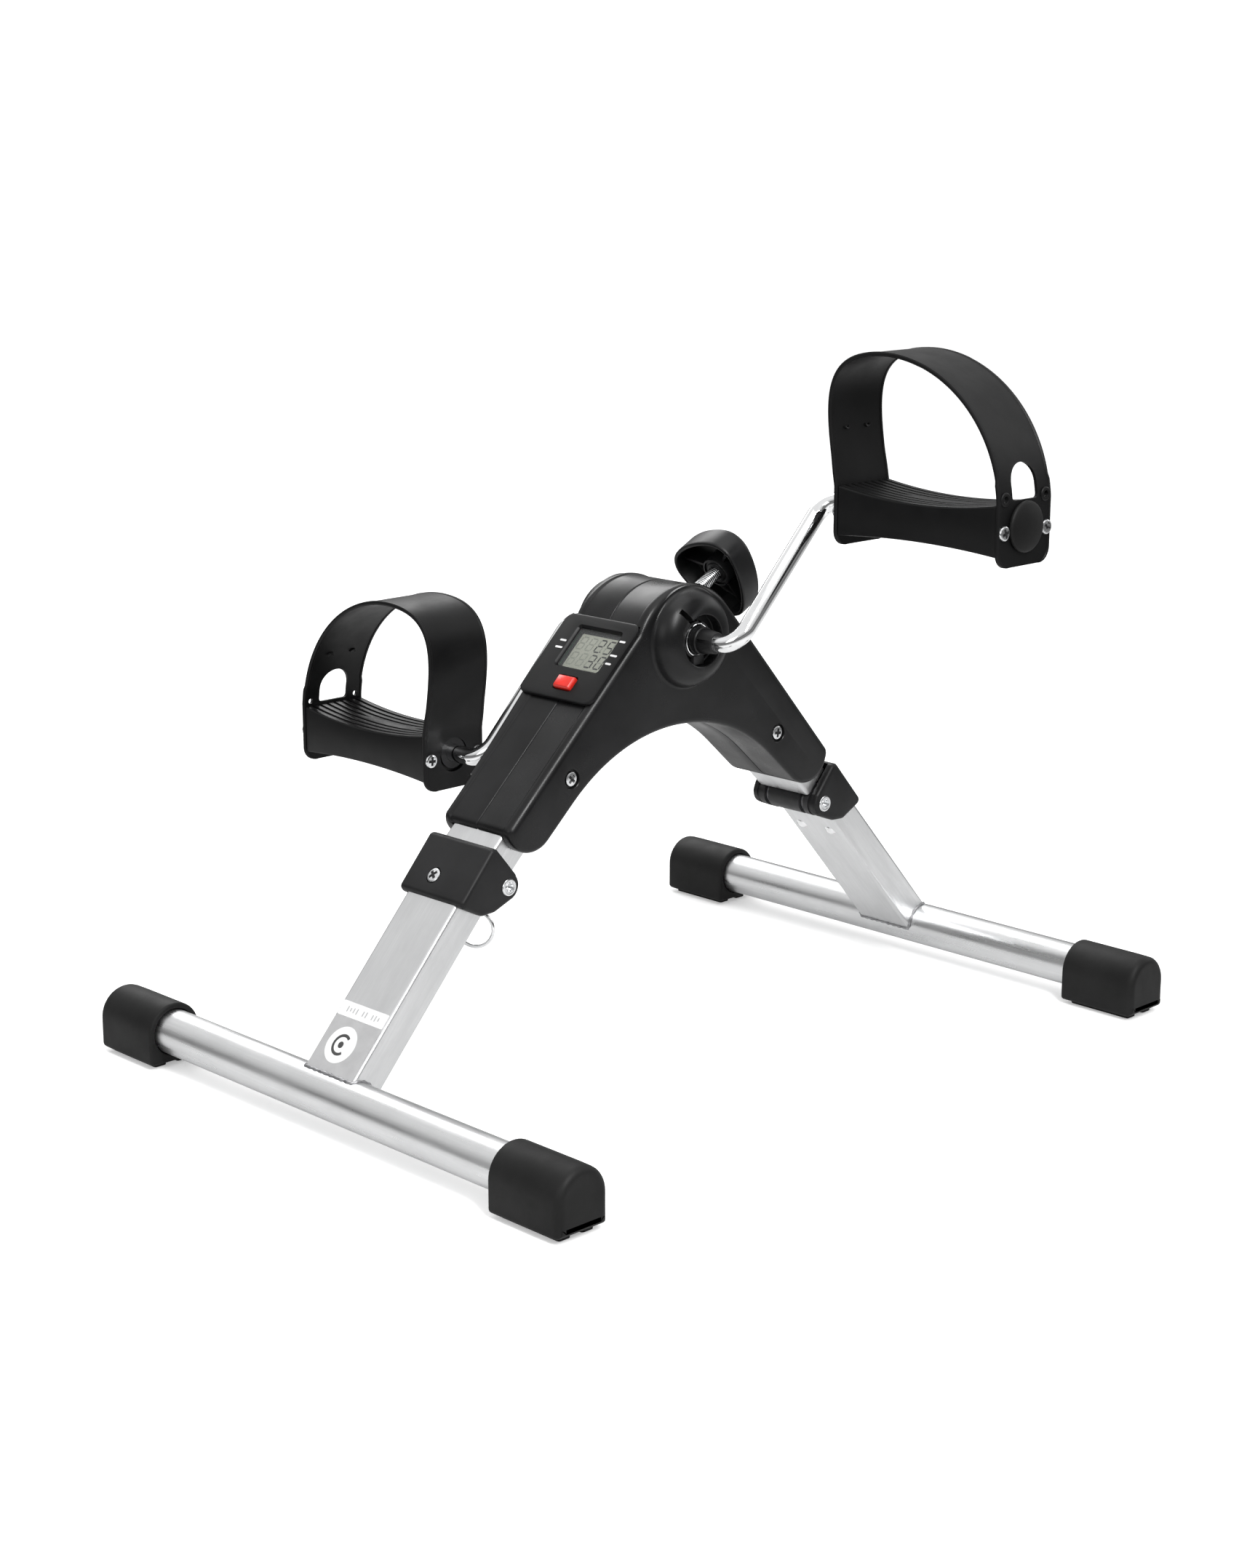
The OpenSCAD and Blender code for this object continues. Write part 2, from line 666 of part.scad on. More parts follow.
// Felt pad in the curve of the shoe
module brake_pad() color([0.3, 0.22, 0.15]) knob_frame() difference() {
  intersection() {
    translate([-6, -9, 0]) cube([12, 18, 40]);
    rotate([0, 90, 0]) cylinder(r = drum_r + pad_gap + 2, h = 30, center = true, $fn = 96);
  }
  rotate([0, 90, 0]) cylinder(r = drum_r + pad_gap, h = 31, center = true, $fn = 96);
}

// ---- legs ---------------------------------------------------------------

module leg_tube(side) difference() {
  leg_frame(side) translate([0, 0, leg_off]) rect_tube(tube_gap, leg_len);
  at_side(side) x_rod(bar_r, -60, 60, bar_y, bar_z);
  leg_frame(side) for (x = [-rivet_x, rivet_x])
    translate([x, rivet_u, leg_in - 1]) cylinder(r = rivet_r, h = 4);
  leg_frame(side) translate([cover_screw_x, cover_screw_u, leg_out - 3])
    cylinder(r = 2, h = 6);
}

// Lock plunger hole through the inner wall of the front leg
module front_leg_tube() color([0.75, 0.75, 0.76]) difference() {
  leg_tube(-1);
  leg_frame(-1) translate([0, lock_u, leg_in - 1]) cylinder(r = 3.5, h = 4);
}
module rear_leg_tube() color([0.75, 0.75, 0.76]) leg_tube(1);

module foot_bar(side) at_side(side) difference() {
  x_rod(bar_r, -bar_length / 2 + 4, bar_length / 2 - 4, bar_y, bar_z);
  x_rod(bar_r - tube_wall, -bar_length, bar_length, bar_y, bar_z);
}
module front_foot_bar() color([0.75, 0.75, 0.76]) foot_bar(-1);
module rear_foot_bar() color([0.75, 0.75, 0.76]) foot_bar(1);

// Section of an end cap: round above, flat below, drawn smaller by t
module cap_section(t = 0) {
  circle(cap_width / 2 - t);
  translate([-cap_width / 2 + t, -cap_drop + t]) square([cap_width - 2 * t, cap_drop]);
}

// End cap on the +X end, with two ribs underneath
module end_cap(side, end) at_side(side) mirror([end < 0 ? 1 : 0, 0, 0])
  translate([0, bar_y, bar_z]) difference() {
    union() {
      along_x(bar_length / 2 - cap_length, bar_length / 2 - 4) cap_section();
      hull() {
        along_x(bar_length / 2 - 4.1, bar_length / 2 - 4) cap_section($fn = hull_fn);
        along_x(bar_length / 2 - 1.2, bar_length / 2 - 1.1) cap_section(1.2, $fn = hull_fn);
        along_x(bar_length / 2 - 0.1, bar_length / 2) cap_section(3.2, $fn = hull_fn);
      }
      for (y = [-11.5, 3.5]) translate([bar_length / 2 - cap_length + 4, y, -bar_z])
        cube([cap_length - 9, 8, pad_h + 1]);
    }
    x_rod(bar_r, 0, bar_length / 2 - 4);
  }
module front_left_cap() color([0.06, 0.06, 0.06]) end_cap(-1, -1);
module front_right_cap() color([0.06, 0.06, 0.06]) end_cap(-1, 1);
module rear_left_cap() color([0.06, 0.06, 0.06]) end_cap(1, -1);
module rear_right_cap() color([0.06, 0.06, 0.06]) end_cap(1, 1);

// Steel fork riveted into the top of a leg, with a lug each side on the pin
module leg_bracket(side) leg_frame(side) difference() {
  union() {
    for (s = [-1, 1]) mirror([s < 0 ? 1 : 0, 0, 0]) along_x(12.6, 15.1) {
      circle(6.5);
      polygon([[-1, -5], [10, leg_in + 2.4], [40, leg_in + 2.4], [40, 12], [14, 12], [-3, 5.5]]);
    }
    translate([-15.1, 10, leg_in + tube_wall]) cube([30.2, 30, 2]);
  }
  x_rod(pin_r, -20, 20);
  for (x = [-rivet_x, rivet_x]) translate([x, rivet_u, 0]) cylinder(r = rivet_r, h = 8);
  if (side < 0) translate([0, lock_u, 0]) cylinder(r = 3.5, h = 8);
}
module front_leg_bracket() color([0.6, 0.6, 0.62]) leg_bracket(-1);
module rear_leg_bracket() color([0.6, 0.6, 0.62]) leg_bracket(1);

// Side outline of a hinge cover, in the leg's frame
module cover_outline() {
  circle(8.2);
  polygon([
    [-10, cover_top], [25, cover_top - 0.6], [25, 20], [21.5, 5], [16, 0],
    [5.5, -6], [-8.2, -1], [-11.6, 20.5]
  ]);
}

// Plastic cover screwed to the top of a leg, with a boss each side on the pin
module hinge_cover(side) leg_frame(side) difference() {
  union() {
    difference() {
      along_x(-cover_w, cover_w) cover_outline();
      // snug over the leg tube, loose over the arm tube
      translate([-leg_w / 2, tube_gap - 0.1, -30]) cube([leg_w, 90, 30 + leg_out]);
      translate([-leg_w / 2 - 1.2, -40, -30]) cube([leg_w + 2.4, 40 + tube_gap, 30.1 + leg_out]);
    }
    for (s = [-1, 1]) mirror([s < 0 ? 1 : 0, 0, 0]) x_rod(7.7, 19.6, cover_w - 1);
  }
  x_rod(pin_r, -40, 40);
  translate([cover_screw_x, cover_screw_u, 0]) cylinder(r = 2, h = 40);
  translate([cover_screw_x, cover_screw_u, cover_top - 1.2]) cylinder(r = 4.8, h = 5);
}
module front_hinge_cover() color([0.08, 0.08, 0.085]) hinge_cover(-1);
module rear_hinge_cover() color([0.08, 0.08, 0.085]) hinge_cover(1);

// Hinge pin, riveted over at both ends
module hinge_pin(side) leg_frame(side) difference() {
  union() {
    x_rod(pin_r, -cover_w, cover_w);
    for (s = [-1, 1]) mirror([s < 0 ? 1 : 0, 0, 0]) x_rod(4.6, cover_w, cover_w + 0.9);
  }
  for (s = [-1, 1]) mirror([s < 0 ? 1 : 0, 0, 0]) x_rod(2.1, cover_w - 1, cover_w + 2);
}
module front_hinge_pin() color([0.8, 0.8, 0.82]) hinge_pin(-1);
module rear_hinge_pin() color([0.8, 0.8, 0.82]) hinge_pin(1);

// Two rivets through the inner wall of a leg and its bracket
module rivets(side) leg_frame(side) for (x = [-rivet_x, rivet_x])
  translate([x, rivet_u, 0]) {
    translate([0, 0, leg_in]) cylinder(r = rivet_r, h = 4.2);
    intersection() {
      translate([0, 0, leg_in + 2.6]) sphere(4.4);
      translate([0, 0, leg_in - 3]) cylinder(r = 3.6, h = 3);
    }
  }
module front_rivets() color([0.78, 0.78, 0.8]) rivets(-1);
module rear_rivets() color([0.78, 0.78, 0.8]) rivets(1);

// Cross-headed screw that holds a hinge cover to its leg
module cover_screw(side) leg_frame(side)
  translate([cover_screw_x, cover_screw_u, 0]) difference() {
    union() {
      translate([0, 0, leg_out - 4]) cylinder(r = 2, h = cover_top - leg_out + 3.4);
      translate([0, 0, cover_top - 1.2]) cylinder(r1 = 4.4, r2 = 3.4, h = 1.8);
    }
    for (a = [45, 135]) translate([0, 0, cover_top + 0.4]) rotate([0, 0, a])
      cube([3.8, 0.9, 1.8], center = true);
  }
module front_cover_screw() color([0.8, 0.8, 0.82]) cover_screw(-1);
module rear_cover_screw() color([0.8, 0.8, 0.82]) cover_screw(1);

// Threaded collar of the leg lock, on the inner face of the front leg
module lock_collar() color([0.75, 0.75, 0.77]) leg_frame(-1)
  translate([0, lock_u, 0]) difference() {
    union() {
      translate([0, 0, leg_in - collar_h]) cylinder(r = 6.2, h = collar_h, $fn = 6);
      translate([0, 0, leg_in]) cylinder(r = 3.5, h = tube_wall + 1.6);
    }
    cylinder(r = lock_r + slip, h = 40, center = true);
  }

// Turned by the plunger's spin, with X along the eye
module eye_frame() leg_frame(-1) translate([0, lock_u, eye_v])
  rotate([0, 0, ring_spin]) children();

// Sprung plunger of the leg lock. Its tip rests just short of the tongue.
module lock_plunger() color([0.8, 0.8, 0.82]) difference() {
  leg_frame(-1) translate([0, lock_u, 0]) {
    translate([0, 0, leg_in - collar_h - gap]) cylinder(r = lock_r, h = 4.5 - leg_in + collar_h + gap);
    translate([0, 0, eye_v - 2.7]) cylinder(r = 3.2, h = leg_in - collar_h - gap - eye_v + 2.7);
  }
  eye_frame() rotate([0, 90, 0]) cylinder(r = ring_wire + 0.75, h = 20, center = true);
}

// Ring hanging from the plunger's eye
module pull_ring() color([0.8, 0.8, 0.82]) eye_frame()
  rotate([atan2(sin(leg_angle) * cos(ring_spin), cos(leg_angle)), 0, 0])
    translate([0, 0, -ring_r]) rotate([90, 0, 0])
      rotate_extrude($fn = 96) translate([ring_r, 0]) circle(ring_wire, $fn = 24);

left_shell();
right_shell();
shell_screws();
front_arm_tube();
rear_arm_tube();
front_arm_knuckle();
rear_arm_knuckle();
hub_bracket();
left_bush();
right_bush();
tension_nut();
console_panel();
lcd_screen();
lcd_lens();
circuit_board();
battery();
reed_sensor();
sensor_lead();
reset_button();
crank_rod();
left_collar();
right_collar();
brake_drum();
drum_magnet();
spindle_clips();
left_pedal_body();
left_pedal_strap();
left_pedal_cap();
left_pedal_screws();
left_pedal_bushes();
right_pedal_body();
right_pedal_strap();
right_pedal_cap();
right_pedal_screws();
right_pedal_bushes();
tension_knob();
tension_bolt();
brake_shoe();
brake_pad();
front_leg_tube();
front_foot_bar();
front_left_cap();
front_right_cap();
front_leg_bracket();
front_hinge_cover();
front_hinge_pin();
front_rivets();
front_cover_screw();
lock_collar();
lock_plunger();
pull_ring();
rear_leg_tube();
rear_foot_bar();
rear_left_cap();
rear_right_cap();
rear_leg_bracket();
rear_hinge_cover();
rear_hinge_pin();
rear_rivets();
rear_cover_screw();
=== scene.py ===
"""Looks of the folding pedal exerciser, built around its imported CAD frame.

Shapes are drawn in millimetres in the same local frames as the CAD and placed
by matrices that come from the record's joints. place() turns them into metres.
"""

import json
import math

import bmesh
import bpy
import numpy as np
from mathutils import Matrix, Vector, noise


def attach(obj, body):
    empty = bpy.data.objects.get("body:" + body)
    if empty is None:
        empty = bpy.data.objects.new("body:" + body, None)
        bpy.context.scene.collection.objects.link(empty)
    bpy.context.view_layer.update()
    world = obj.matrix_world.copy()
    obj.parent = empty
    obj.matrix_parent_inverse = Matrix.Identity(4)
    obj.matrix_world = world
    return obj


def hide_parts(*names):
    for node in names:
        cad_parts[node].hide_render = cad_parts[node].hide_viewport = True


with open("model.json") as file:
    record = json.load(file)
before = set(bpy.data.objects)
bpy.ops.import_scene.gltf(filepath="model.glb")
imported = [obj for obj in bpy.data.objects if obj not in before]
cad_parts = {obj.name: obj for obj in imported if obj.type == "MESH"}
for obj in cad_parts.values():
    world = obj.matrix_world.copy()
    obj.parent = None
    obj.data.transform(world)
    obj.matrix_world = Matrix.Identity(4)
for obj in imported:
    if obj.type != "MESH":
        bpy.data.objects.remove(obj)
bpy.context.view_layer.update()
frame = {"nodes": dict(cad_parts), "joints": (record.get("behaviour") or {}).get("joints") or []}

NODES = frame["nodes"]
JOINTS = {j["name"]: j for j in frame["joints"]}

# ---- frames -------------------------------------------------------------


def shift(x, y, z):
    return Matrix.Translation((x, y, z))


def turn(axis, degrees):
    return Matrix.Rotation(math.radians(degrees), 4, axis)


def flip(x=1, y=1, z=1):
    return Matrix.Diagonal((x, y, z, 1))


def joint_mm(name):
    return [v * 1000 for v in JOINTS[name]["pos_m"]]


METRES = Matrix.Scale(0.001, 4)
ALONG_X = turn("Y", 90)  # local Z becomes X
UPRIGHT = Matrix(((0, 0, 1, 0), (1, 0, 0, 0), (0, 1, 0, 0), (0, 0, 0, 1)))  # X to Y, Z to X
RIGHT_LEFT = ((1, "right"), (-1, "left"))
FRONT_REAR = ((-1, "front"), (1, "rear"))

PIN = joint_mm("rear_leg_fold")
HUB = joint_mm("crank_turn")
SPINDLE = {s: joint_mm(n + "_pedal_spin") for s, n in RIGHT_LEFT}
LEG_ANGLE, ARM_ANGLE, PANEL_ANGLE, KNOB_ANGLE = 48.2, 44.5, 43.75, 28
PANEL_Y, PANEL_Z = -123.5, 150  # where the sloping top starts
LEG_OUT = 20.68  # a leg's outer face above the pin
LEG_IN = LEG_OUT - 20
COVER_TOP = LEG_OUT + 2.6
COVER_SCREW = (-5, 13)


def leg_m(side):
    """Origin on the hinge pin, Y down the leg, Z out of its outer face."""
    return flip(y=side) @ shift(0, PIN[1], PIN[2]) @ turn("X", -LEG_ANGLE)


def arm_m(side):
    return flip(y=side) @ shift(0, PIN[1], PIN[2]) @ turn("X", -ARM_ANGLE)


PANEL_M = shift(0, PANEL_Y, PANEL_Z) @ turn("X", PANEL_ANGLE)
HUB_AT = shift(0, *HUB[1:])
KNOB_M = HUB_AT @ turn("X", KNOB_ANGLE - 90)
HUB_M = {s: flip(x=s) @ HUB_AT @ ALONG_X for s in (1, -1)}


def pedal_m(side):
    return shift(0, SPINDLE[side][1], SPINDLE[side][2]) @ flip(x=side)


# ---- mesh building ------------------------------------------------------


def place(name, verts, faces, matrix=Matrix.Identity(4)):
    """A mesh object from points in millimetres in a local frame."""
    mesh = bpy.data.meshes.new(name)
    whole = METRES @ matrix
    mesh.from_pydata([whole @ Vector(v) for v in verts], [], faces)
    obj = bpy.data.objects.new(name, mesh)
    bpy.context.scene.collection.objects.link(obj)
    clean(obj)
    return obj


def clean(obj, dist=0.00001):
    bm = bmesh.new()
    bm.from_mesh(obj.data)
    bmesh.ops.remove_doubles(bm, verts=bm.verts, dist=dist)
    bmesh.ops.recalc_face_normals(bm, faces=bm.faces)
    bm.to_mesh(obj.data)
    bm.free()


def loft(rings, cap=True):
    """Verts and faces through rings of equal length."""
    n = len(rings[0])
    verts = [p for ring in rings for p in ring]
    faces = []
    for i in range(len(rings) - 1):
        for j in range(n):
            a, b = i * n + j, i * n + (j + 1) % n
            faces.append((a, b, b + n, a + n))
    if cap:
        faces.append(tuple(range(n))[::-1])
        faces.append(tuple(range((len(rings) - 1) * n, len(rings) * n)))
    return verts, faces


def lathe(profile, segments=64, cap=True):
    """Turns (radius, height) points about Z."""
    rings = []
    for r, h in profile:
        r = max(r, 1e-4)
        rings.append([(r * math.cos(t), r * math.sin(t), h)
                      for t in np.linspace(0, 2 * math.pi, segments, endpoint=False)])
    return loft(rings, cap)


def tube(path, radius, segments, across):
    """Sweeps a circle along a path; radius is a number or one per point."""
    path = [Vector(p) for p in path]
    rings, side = [], Vector(across)
    for i, p in enumerate(path):
        ahead = (path[min(i + 1, len(path) - 1)] - path[max(i - 1, 0)]).normalized()
        side = (side - ahead * side.dot(ahead)).normalized()
        up = ahead.cross(side)
        r = radius[i] if hasattr(radius, "__len__") else radius
        rings.append([p + r * (math.cos(t) * side + math.sin(t) * up)
                      for t in np.linspace(0, 2 * math.pi, segments, endpoint=False)])
    return loft(rings)


def arc(cx, cy, r, a0, a1, n):
    return [(cx + r * math.cos(math.radians(a)), cy + r * math.sin(math.radians(a)))
            for a in np.linspace(a0, a1, n)]


def rounded(corners, n=7):
    """Closed outline through (x, y, radius) corners, each cut round."""
    out = []
    for i, (x, y, r) in enumerate(corners):
        b = Vector((x, y))
        a = (Vector(corners[i - 1][:2]) - b).normalized()
        c = (Vector(corners[(i + 1) % len(corners)][:2]) - b).normalized()
        half = math.acos(max(-1, min(1, a.dot(c)))) / 2
        if r < 0.01 or half > 1.5:
            out.append((x, y))
            continue
        middle = b + (a + c).normalized() * r / math.sin(half)
        p, q = b + a * r / math.tan(half), b + c * r / math.tan(half)
        t0, t1 = (math.atan2(*(v - middle).yx) for v in (p, q))
        sweep = (t1 - t0 + math.pi) % (2 * math.pi) - math.pi
        out += [(middle.x + r * math.cos(t0 + sweep * k / (n - 1)),
                 middle.y + r * math.sin(t0 + sweep * k / (n - 1))) for k in range(n)]
    return out


def inset(outline, depth):
    """Moves each point of a closed outline inwards by its depth."""
    pts = np.array(outline, float)
    before, after = np.roll(pts, 1, 0), np.roll(pts, -1, 0)
    area = np.sum(pts[:, 0] * after[:, 1] - after[:, 0] * pts[:, 1])
    e1, e2 = pts - before, after - pts
    e1 /= np.linalg.norm(e1, axis=1)[:, None]
    e2 /= np.linalg.norm(e2, axis=1)[:, None]
    n1 = np.stack([-e1[:, 1], e1[:, 0]], 1)
    n2 = np.stack([-e2[:, 1], e2[:, 0]], 1)
    n = n1 + n2
    n /= np.maximum(np.sum(n * n1, axis=1), 0.5)[:, None]
    return pts + n * (1 if area > 0 else -1) * np.asarray(depth, float).reshape(-1, 1)


def prism(outline, profile):
    """Loft of one outline through (height, inset) steps, along Z."""
    rings = [[(x, y, h) for x, y in inset(outline, d)] for h, d in profile]
    return loft(rings)


def round_rims(z0, z1, r, steps):
    """(height, inset) steps of a prism with both rims rounded by r."""
    turns = np.linspace(0, math.pi / 2, steps + 1)
    return ([(z0 + r - r * math.cos(t), r - r * math.sin(t)) for t in turns]
            + [(z1 - r + r * math.sin(t), r - r * math.cos(t)) for t in turns])


def slab(outline, z0, z1, r=0.8, steps=4):
    return prism(outline, round_rims(z0, z1, r, steps))


def rect(w, h, r, n=7):
    return rounded([(w / 2, -h / 2, r), (w / 2, h / 2, r), (-w / 2, h / 2, r),
                    (-w / 2, -h / 2, r)], n)


def box(x0, x1, y0, y1, z0, z1):
    v = [(x, y, z) for z in (z0, z1) for x, y in ((x0, y0), (x1, y0), (x1, y1), (x0, y1))]
    return v, [(3, 2, 1, 0), (4, 5, 6, 7), (0, 1, 5, 4), (1, 2, 6, 5), (2, 3, 7, 6),
               (3, 0, 4, 7)]


def rod(r, z0, z1, segments=48):
    return lathe([(r, z0), (r, z1)], segments)


def bake(obj):
    graph = bpy.context.evaluated_depsgraph_get()
    mesh = bpy.data.meshes.new_from_object(obj.evaluated_get(graph))
    old = obj.data
    obj.modifiers.clear()
    obj.data = mesh
    bpy.data.meshes.remove(old)


def boolean(obj, cutters, operation="DIFFERENCE"):
    """Cuts away (or adds) parts, each ((verts, faces), matrix)."""
    made = [place("cutter", *shape, matrix) for shape, matrix in cutters]
    for tool in made:
        mod = obj.modifiers.new("cut", "BOOLEAN")
        mod.operation, mod.solver, mod.object = operation, "EXACT", tool
        bpy.context.view_layer.update()
        bake(obj)
    for tool in made:
        bpy.data.objects.remove(tool)
    clean(obj, 1e-6)


def join(first, *others):
    """One object from several, which are removed."""
    bm = bmesh.new()
    for o in (first, *others):
        bm.from_mesh(o.data)
    bm.to_mesh(first.data)
    bm.free()
    for o in others:
        bpy.data.objects.remove(o)
    return first


def merged(name, shapes, matrix=Matrix.Identity(4)):
    """One object from several (verts, faces) shapes in the same frame."""
    parts = [place(name if i == 0 else "part", *s, matrix) for i, s in enumerate(shapes)]
    return join(*parts) if len(parts) > 1 else parts[0]


def finish(obj, body, mat, nodes=(), smooth=35):
    """Shades a piece, gives it its material, ties it to its body and hides its CAD nodes."""
    obj.data.polygons.foreach_set("use_smooth", [True] * len(obj.data.polygons))
    obj.data.set_sharp_from_angle(angle=math.radians(smooth))
    obj.data.materials.clear()
    obj.data.materials.append(mat)
    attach(obj, body)
    if nodes:
        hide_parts(*nodes)


# ---- materials ----------------------------------------------------------


class Nodes:
    """Short names for building one material's node tree."""

    def __init__(self, name):
        self.mat = bpy.data.materials.new(name)
        self.mat.use_nodes = True
        self.tree = self.mat.node_tree
        self.shader = self.tree.nodes["Principled BSDF"]
        self.coords = self.tree.nodes.new("ShaderNodeTexCoord").outputs["Object"]

    def link(self, a, b):
        self.tree.links.new(a, b)

    def stretched(self, along, ratio):
        """Coordinates squeezed along one direction, for streaks."""
        spin = self.tree.nodes.new("ShaderNodeMapping")
        facing = Vector(along).rotation_difference(Vector((0, 0, 1))).to_euler()
        spin.inputs["Rotation"].default_value = facing
        squeeze = self.tree.nodes.new("ShaderNodeMapping")
        squeeze.inputs["Scale"].default_value = (1, 1, ratio)
        self.link(self.coords, spin.inputs["Vector"])
        self.link(spin.outputs[0], squeeze.inputs["Vector"])
        return squeeze.outputs[0]

    def noise(self, scale, detail=3, rough=0.55, coords=None):
        n = self.tree.nodes.new("ShaderNodeTexNoise")
        n.inputs["Scale"].default_value = scale
        n.inputs["Detail"].default_value = detail
        n.inputs["Roughness"].default_value = rough
        self.link(coords or self.coords, n.inputs["Vector"])
        return n.outputs[0]

    def remap(self, value, a, b, c, d):
        n = self.tree.nodes.new("ShaderNodeMapRange")
        for i, v in enumerate((a, b, c, d)):
            n.inputs[i + 1].default_value = v
        self.link(value, n.inputs[0])
        return n.outputs[0]

    def mix(self, fac, a, b):
        n = self.tree.nodes.new("ShaderNodeMix")
        n.data_type = "RGBA"
        self.link(fac, n.inputs[0])
        for socket, v in ((n.inputs[6], a), (n.inputs[7], b)):
            if isinstance(v, (tuple, list)):
                socket.default_value = (*v[:3], 1)
            else:
                self.link(v, socket)
        return n.outputs[2]

    def bump(self, height, strength, distance, normal=None):
        n = self.tree.nodes.new("ShaderNodeBump")
        n.inputs["Strength"].default_value = strength
        n.inputs["Distance"].default_value = distance
        self.link(height, n.inputs["Height"])
        if normal:
            self.link(normal, n.inputs["Normal"])
        return n.outputs[0]


def tint(color, k):
    return tuple(min(1, c * k) for c in color[:3])


def plastic(name, color, rough, specular=0.35, grain=2600, depth=0.00002, cloud=26,
            vary=0.35, edge=0.35, scuff=0.0):
    """Moulded plastic or rubber: cloudy colour, fine texture, edges lighter as rubbed wear and
    painted highlight.
    """
    n = Nodes(name)
    base = n.mix(n.remap(n.noise(cloud, 4), 0.35, 0.65, 0, 1),
                 tint(color, 1 - vary), tint(color, 1 + vary))
    # convex edges (by pointiness) turn lighter: partly rubbed wear, partly a painted highlight
    point = n.tree.nodes.new("ShaderNodeNewGeometry").outputs["Pointiness"]
    wear_and_edge_highlight = n.remap(point, 0.52, 0.60, 0, edge)
    base = n.mix(wear_and_edge_highlight, base, tint(color, 3.2))
    if scuff:
        marks = n.remap(n.noise(90, 5, 0.7), 0.56, 0.75, 0, scuff)
        base = n.mix(marks, base, tint(color, 4))
    n.link(base, n.shader.inputs["Base Color"])
    n.link(n.remap(n.noise(60, 4), 0.3, 0.7, rough - 0.05, rough + 0.07),
           n.shader.inputs["Roughness"])
    n.shader.inputs["Specular IOR Level"].default_value = specular
    fine = n.bump(n.noise(grain, 2), 0.35, depth)
    n.link(n.bump(n.noise(140, 2), 0.12, 0.0002, fine), n.shader.inputs["Normal"])
    return n.mat


def steel(name, color, rough, along, streak=900, ratio=0.03, vary=0.04,
          depth=0.000006):
    """Drawn or plated steel with fine lines along its length."""
    n = Nodes(name)
    n.shader.inputs["Metallic"].default_value = 1
    lines = n.noise(streak, 4, 0.6, n.stretched(along, ratio))
    broad = n.noise(70, 4, 0.65, n.stretched(along, 0.35))
    base = n.mix(n.remap(lines, 0.3, 0.7, 0, 1), tint(color, 1 - vary),
                 tint(color, 1 + vary))
    base = n.mix(n.remap(broad, 0.4, 0.7, 0, 1), base, tint(color, 1 - 2.2 * vary))
    n.link(base, n.shader.inputs["Base Color"])
    n.link(n.remap(n.noise(streak / 3, 4, 0.6, n.stretched(along, ratio * 2)),
                   0.3, 0.7, rough - 0.06, rough + 0.09), n.shader.inputs["Roughness"])
    n.link(n.bump(lines, 0.25, depth), n.shader.inputs["Normal"])
    return n.mat


def plain(name, color, rough, metal=0.0, cloud=80, vary=0.2, grain=900, depth=0.00002,
          specular=0.5, alpha=1.0):
    """Small fittings: clouded colour, uneven gloss and a fine surface."""
    n = Nodes(name)
    n.shader.inputs["Metallic"].default_value = metal
    n.shader.inputs["Specular IOR Level"].default_value = specular
    n.link(n.mix(n.remap(n.noise(cloud, 4), 0.3, 0.7, 0, 1), tint(color, 1 - vary),
                 tint(color, 1 + vary)), n.shader.inputs["Base Color"])
    n.link(n.remap(n.noise(cloud * 3, 3), 0.3, 0.7, max(0.02, rough - 0.05), rough + 0.06),
           n.shader.inputs["Roughness"])
    n.link(n.bump(n.noise(grain, 3), 0.2, depth), n.shader.inputs["Normal"])
    n.shader.inputs["Alpha"].default_value = alpha
    return n.mat


